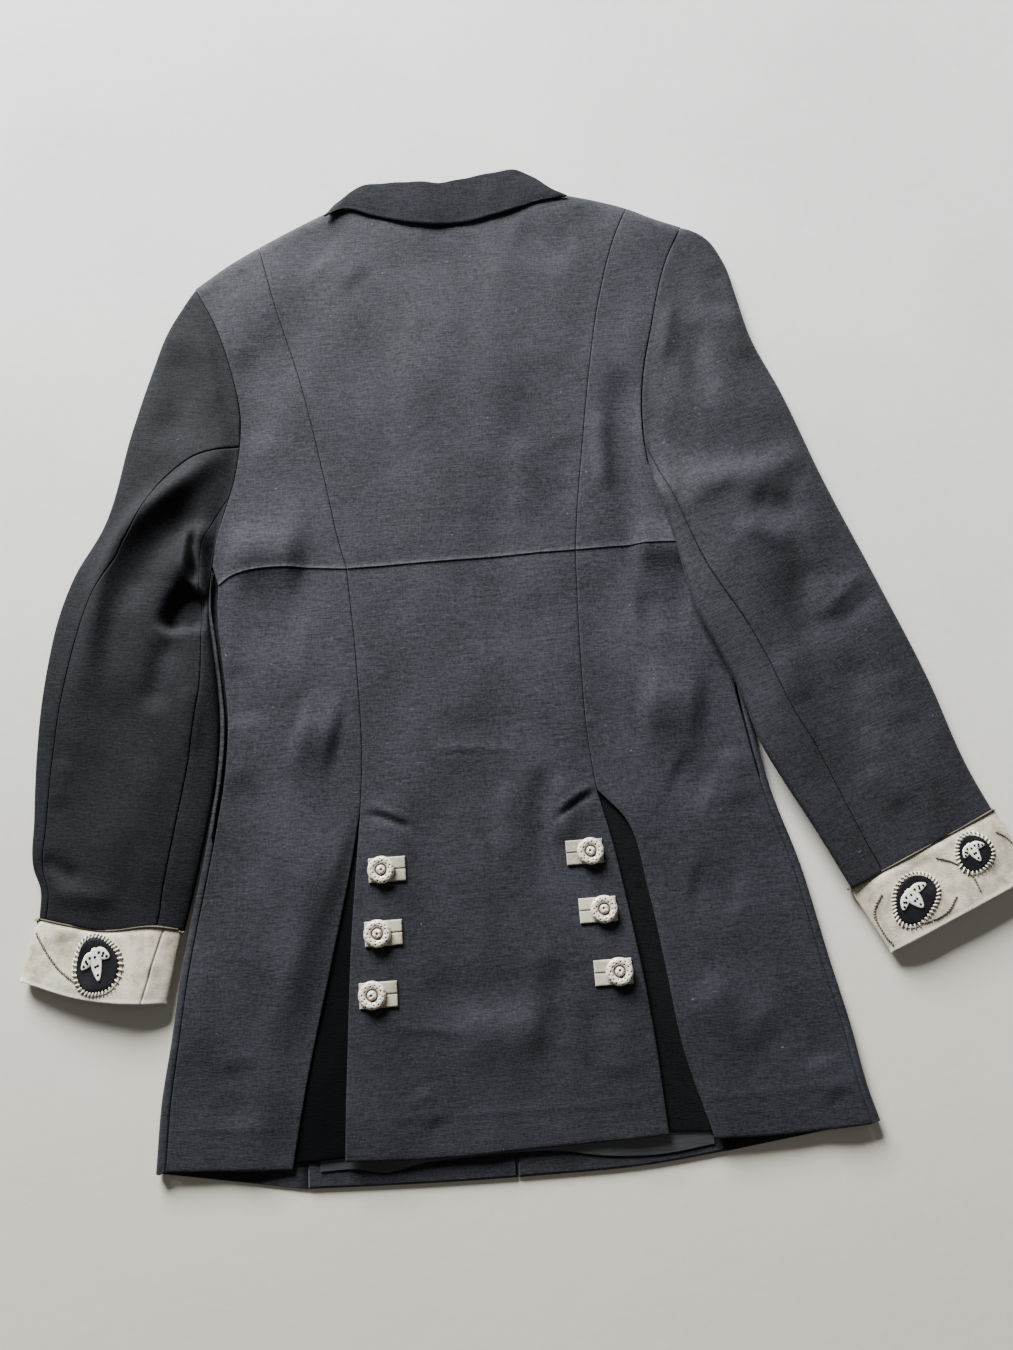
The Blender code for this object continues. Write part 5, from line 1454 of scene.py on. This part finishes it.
def make_button(name, x, y, turn):
    """A round button whose edge turns under to its back."""
    share = np.r_[np.linspace(0.02, 0.97, 40), 0.99, 1.0]
    angle = np.linspace(0, 2 * math.pi, 108, endpoint=False)
    s, a = np.meshgrid(share, angle, indexing="ij")
    height = button_height(s, a + turn)
    ring = np.array([(x + BUTTON_RADIUS * math.cos(t), y + BUTTON_RADIUS * math.sin(t)) for t in angle[::9]])
    seat = float(back_surface(ring[:, 0], ring[:, 1]).max()) + 2 * LAYER_GAP + TAB_WALL
    rim = 1 + 0.007 * np.cos(5 * a + 2 * turn) * ease((s - 0.7) / 0.3)
    grid = np.stack([x + BUTTON_RADIUS * s * rim * np.cos(a), y + BUTTON_RADIUS * s * rim * np.sin(a),
                     seat + BUTTON_HEIGHT * height], axis=-1)
    foot = grid[-1:].copy()
    foot[..., :2] = np.array([x, y]) + 0.9 * (foot[..., :2] - [x, y])
    foot[..., 2] = seat
    points = np.concatenate([grid, foot]).reshape(-1, 3)
    faces = grid_faces(len(share) + 1, len(angle), False, True).tolist()
    faces.append(list(range(len(angle))))
    faces.append(list(range(len(points) - 1, len(points) - len(angle) - 1, -1)))
    made = add_piece("button_" + name + "_relief", points, faces, silver)
    usual = from_table(BUTTON_PROFILE, s)
    low = np.clip(5.5 * (usual - height), 0, 1) + np.exp(-((s - 0.39) / 0.06)**2)
    mark(made, "recess", np.concatenate([np.clip(low, 0, 1), np.ones((1, len(angle)))]))
    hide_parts("button_" + name)


# Stage, in metres; the camera's place is a plan point in millimetres

FLOOR_REACH = 4
FLOOR_HEIGHT = -0.0006


def make_floor():
    """A wide floor just under the coat."""
    corners = [(x * FLOOR_REACH, y * FLOOR_REACH, 0) for x, y in ((-1, -1), (1, -1), (1, 1), (-1, 1))]
    mesh = bpy.data.meshes.new("floor")
    mesh.from_pydata(corners, [], [(0, 1, 2, 3)])
    mesh.materials.append(make_floor_finish())
    made = bpy.data.objects.new("floor", mesh)
    made.location.z = FLOOR_HEIGHT
    bpy.context.scene.collection.objects.link(made)


CAMERA_PLACE = (7.3, 147.7, 840.0)
CAMERA_RIGHT = (0.99705, -0.07672, 0.0)
CAMERA_LOOKS = (0.01986, 0.25806, -0.96593)
CAMERA_LENS = 28.0
CAMERA_SENSOR = 36.0


def make_camera():
    """A hand camera over the coat, tilted a little towards the collar."""
    right, looks = Vector(CAMERA_RIGHT).normalized(), Vector(CAMERA_LOOKS).normalized()
    up = right.cross(looks)
    turn = Matrix((right, up, -looks)).transposed()
    data = bpy.data.cameras.new("camera")
    data.lens = CAMERA_LENS
    data.sensor_width = CAMERA_SENSOR
    made = bpy.data.objects.new("camera", data)
    place = Vector((np.array(CAMERA_PLACE) - PLAN_CENTRE) * MM)
    made.matrix_world = Matrix.Translation(place) @ turn.to_4x4()
    bpy.context.scene.collection.objects.link(made)
    bpy.context.scene.camera = made


def make_light(name, place, aim, size, power, colour):
    """A soft rectangular light turned towards a point."""
    data = bpy.data.lights.new(name, "AREA")
    data.shape = "RECTANGLE"
    data.size, data.size_y = size
    data.energy = power
    data.color = colour
    made = bpy.data.objects.new(name, data)
    made.location = place
    made.rotation_euler = (Vector(aim) - Vector(place)).to_track_quat("-Z", "Y").to_euler()
    bpy.context.scene.collection.objects.link(made)


def make_lights():
    """Soft daylight from beyond the collar, a little warm fill and pale surroundings."""
    make_light("window", place=(-1.9, 4.8, 2.25), aim=(0, 0, 0), size=(3.0, 2.2), power=1750,
               colour=(0.955, 0.985, 1.0))
    make_light("room", place=(0.9, -0.3, 2.4), aim=(0, 0, 0), size=(2.5, 2.5), power=6,
               colour=(1.0, 0.97, 0.93))
    world = bpy.data.worlds.new("room")
    world.use_nodes = True
    background = world.node_tree.nodes["Background"]
    background.inputs["Color"].default_value = (0.90, 0.90, 0.88, 1)
    background.inputs["Strength"].default_value = 0.10
    bpy.context.scene.world = world


make_camera()
make_floor()
make_lights()
make_upper_back()
make_tail_and_skirts()
make_underlays()
make_fronts()
make_front_sides()
make_lining()
make_collar()
make_left_sleeve()
make_right_sleeve()
make_cuff("left", LEFT_CUFF)
make_cuff("right", RIGHT_CUFF)
make_patches(LEFT_CUFF, LEFT_PATCHES, False)
make_patches(RIGHT_CUFF, RIGHT_PATCHES, True)
make_cuff_lines("left", LEFT_CUFF, LEFT_CUFF_LINES)
make_cuff_lines("right", RIGHT_CUFF, RIGHT_CUFF_LINES)
for place, (button_name, button_x, button_y, tab_way) in enumerate(BUTTONS):
    make_tab(button_name, button_x, button_y, tab_way)
    make_button(button_name, button_x, button_y, 0.9 * place)
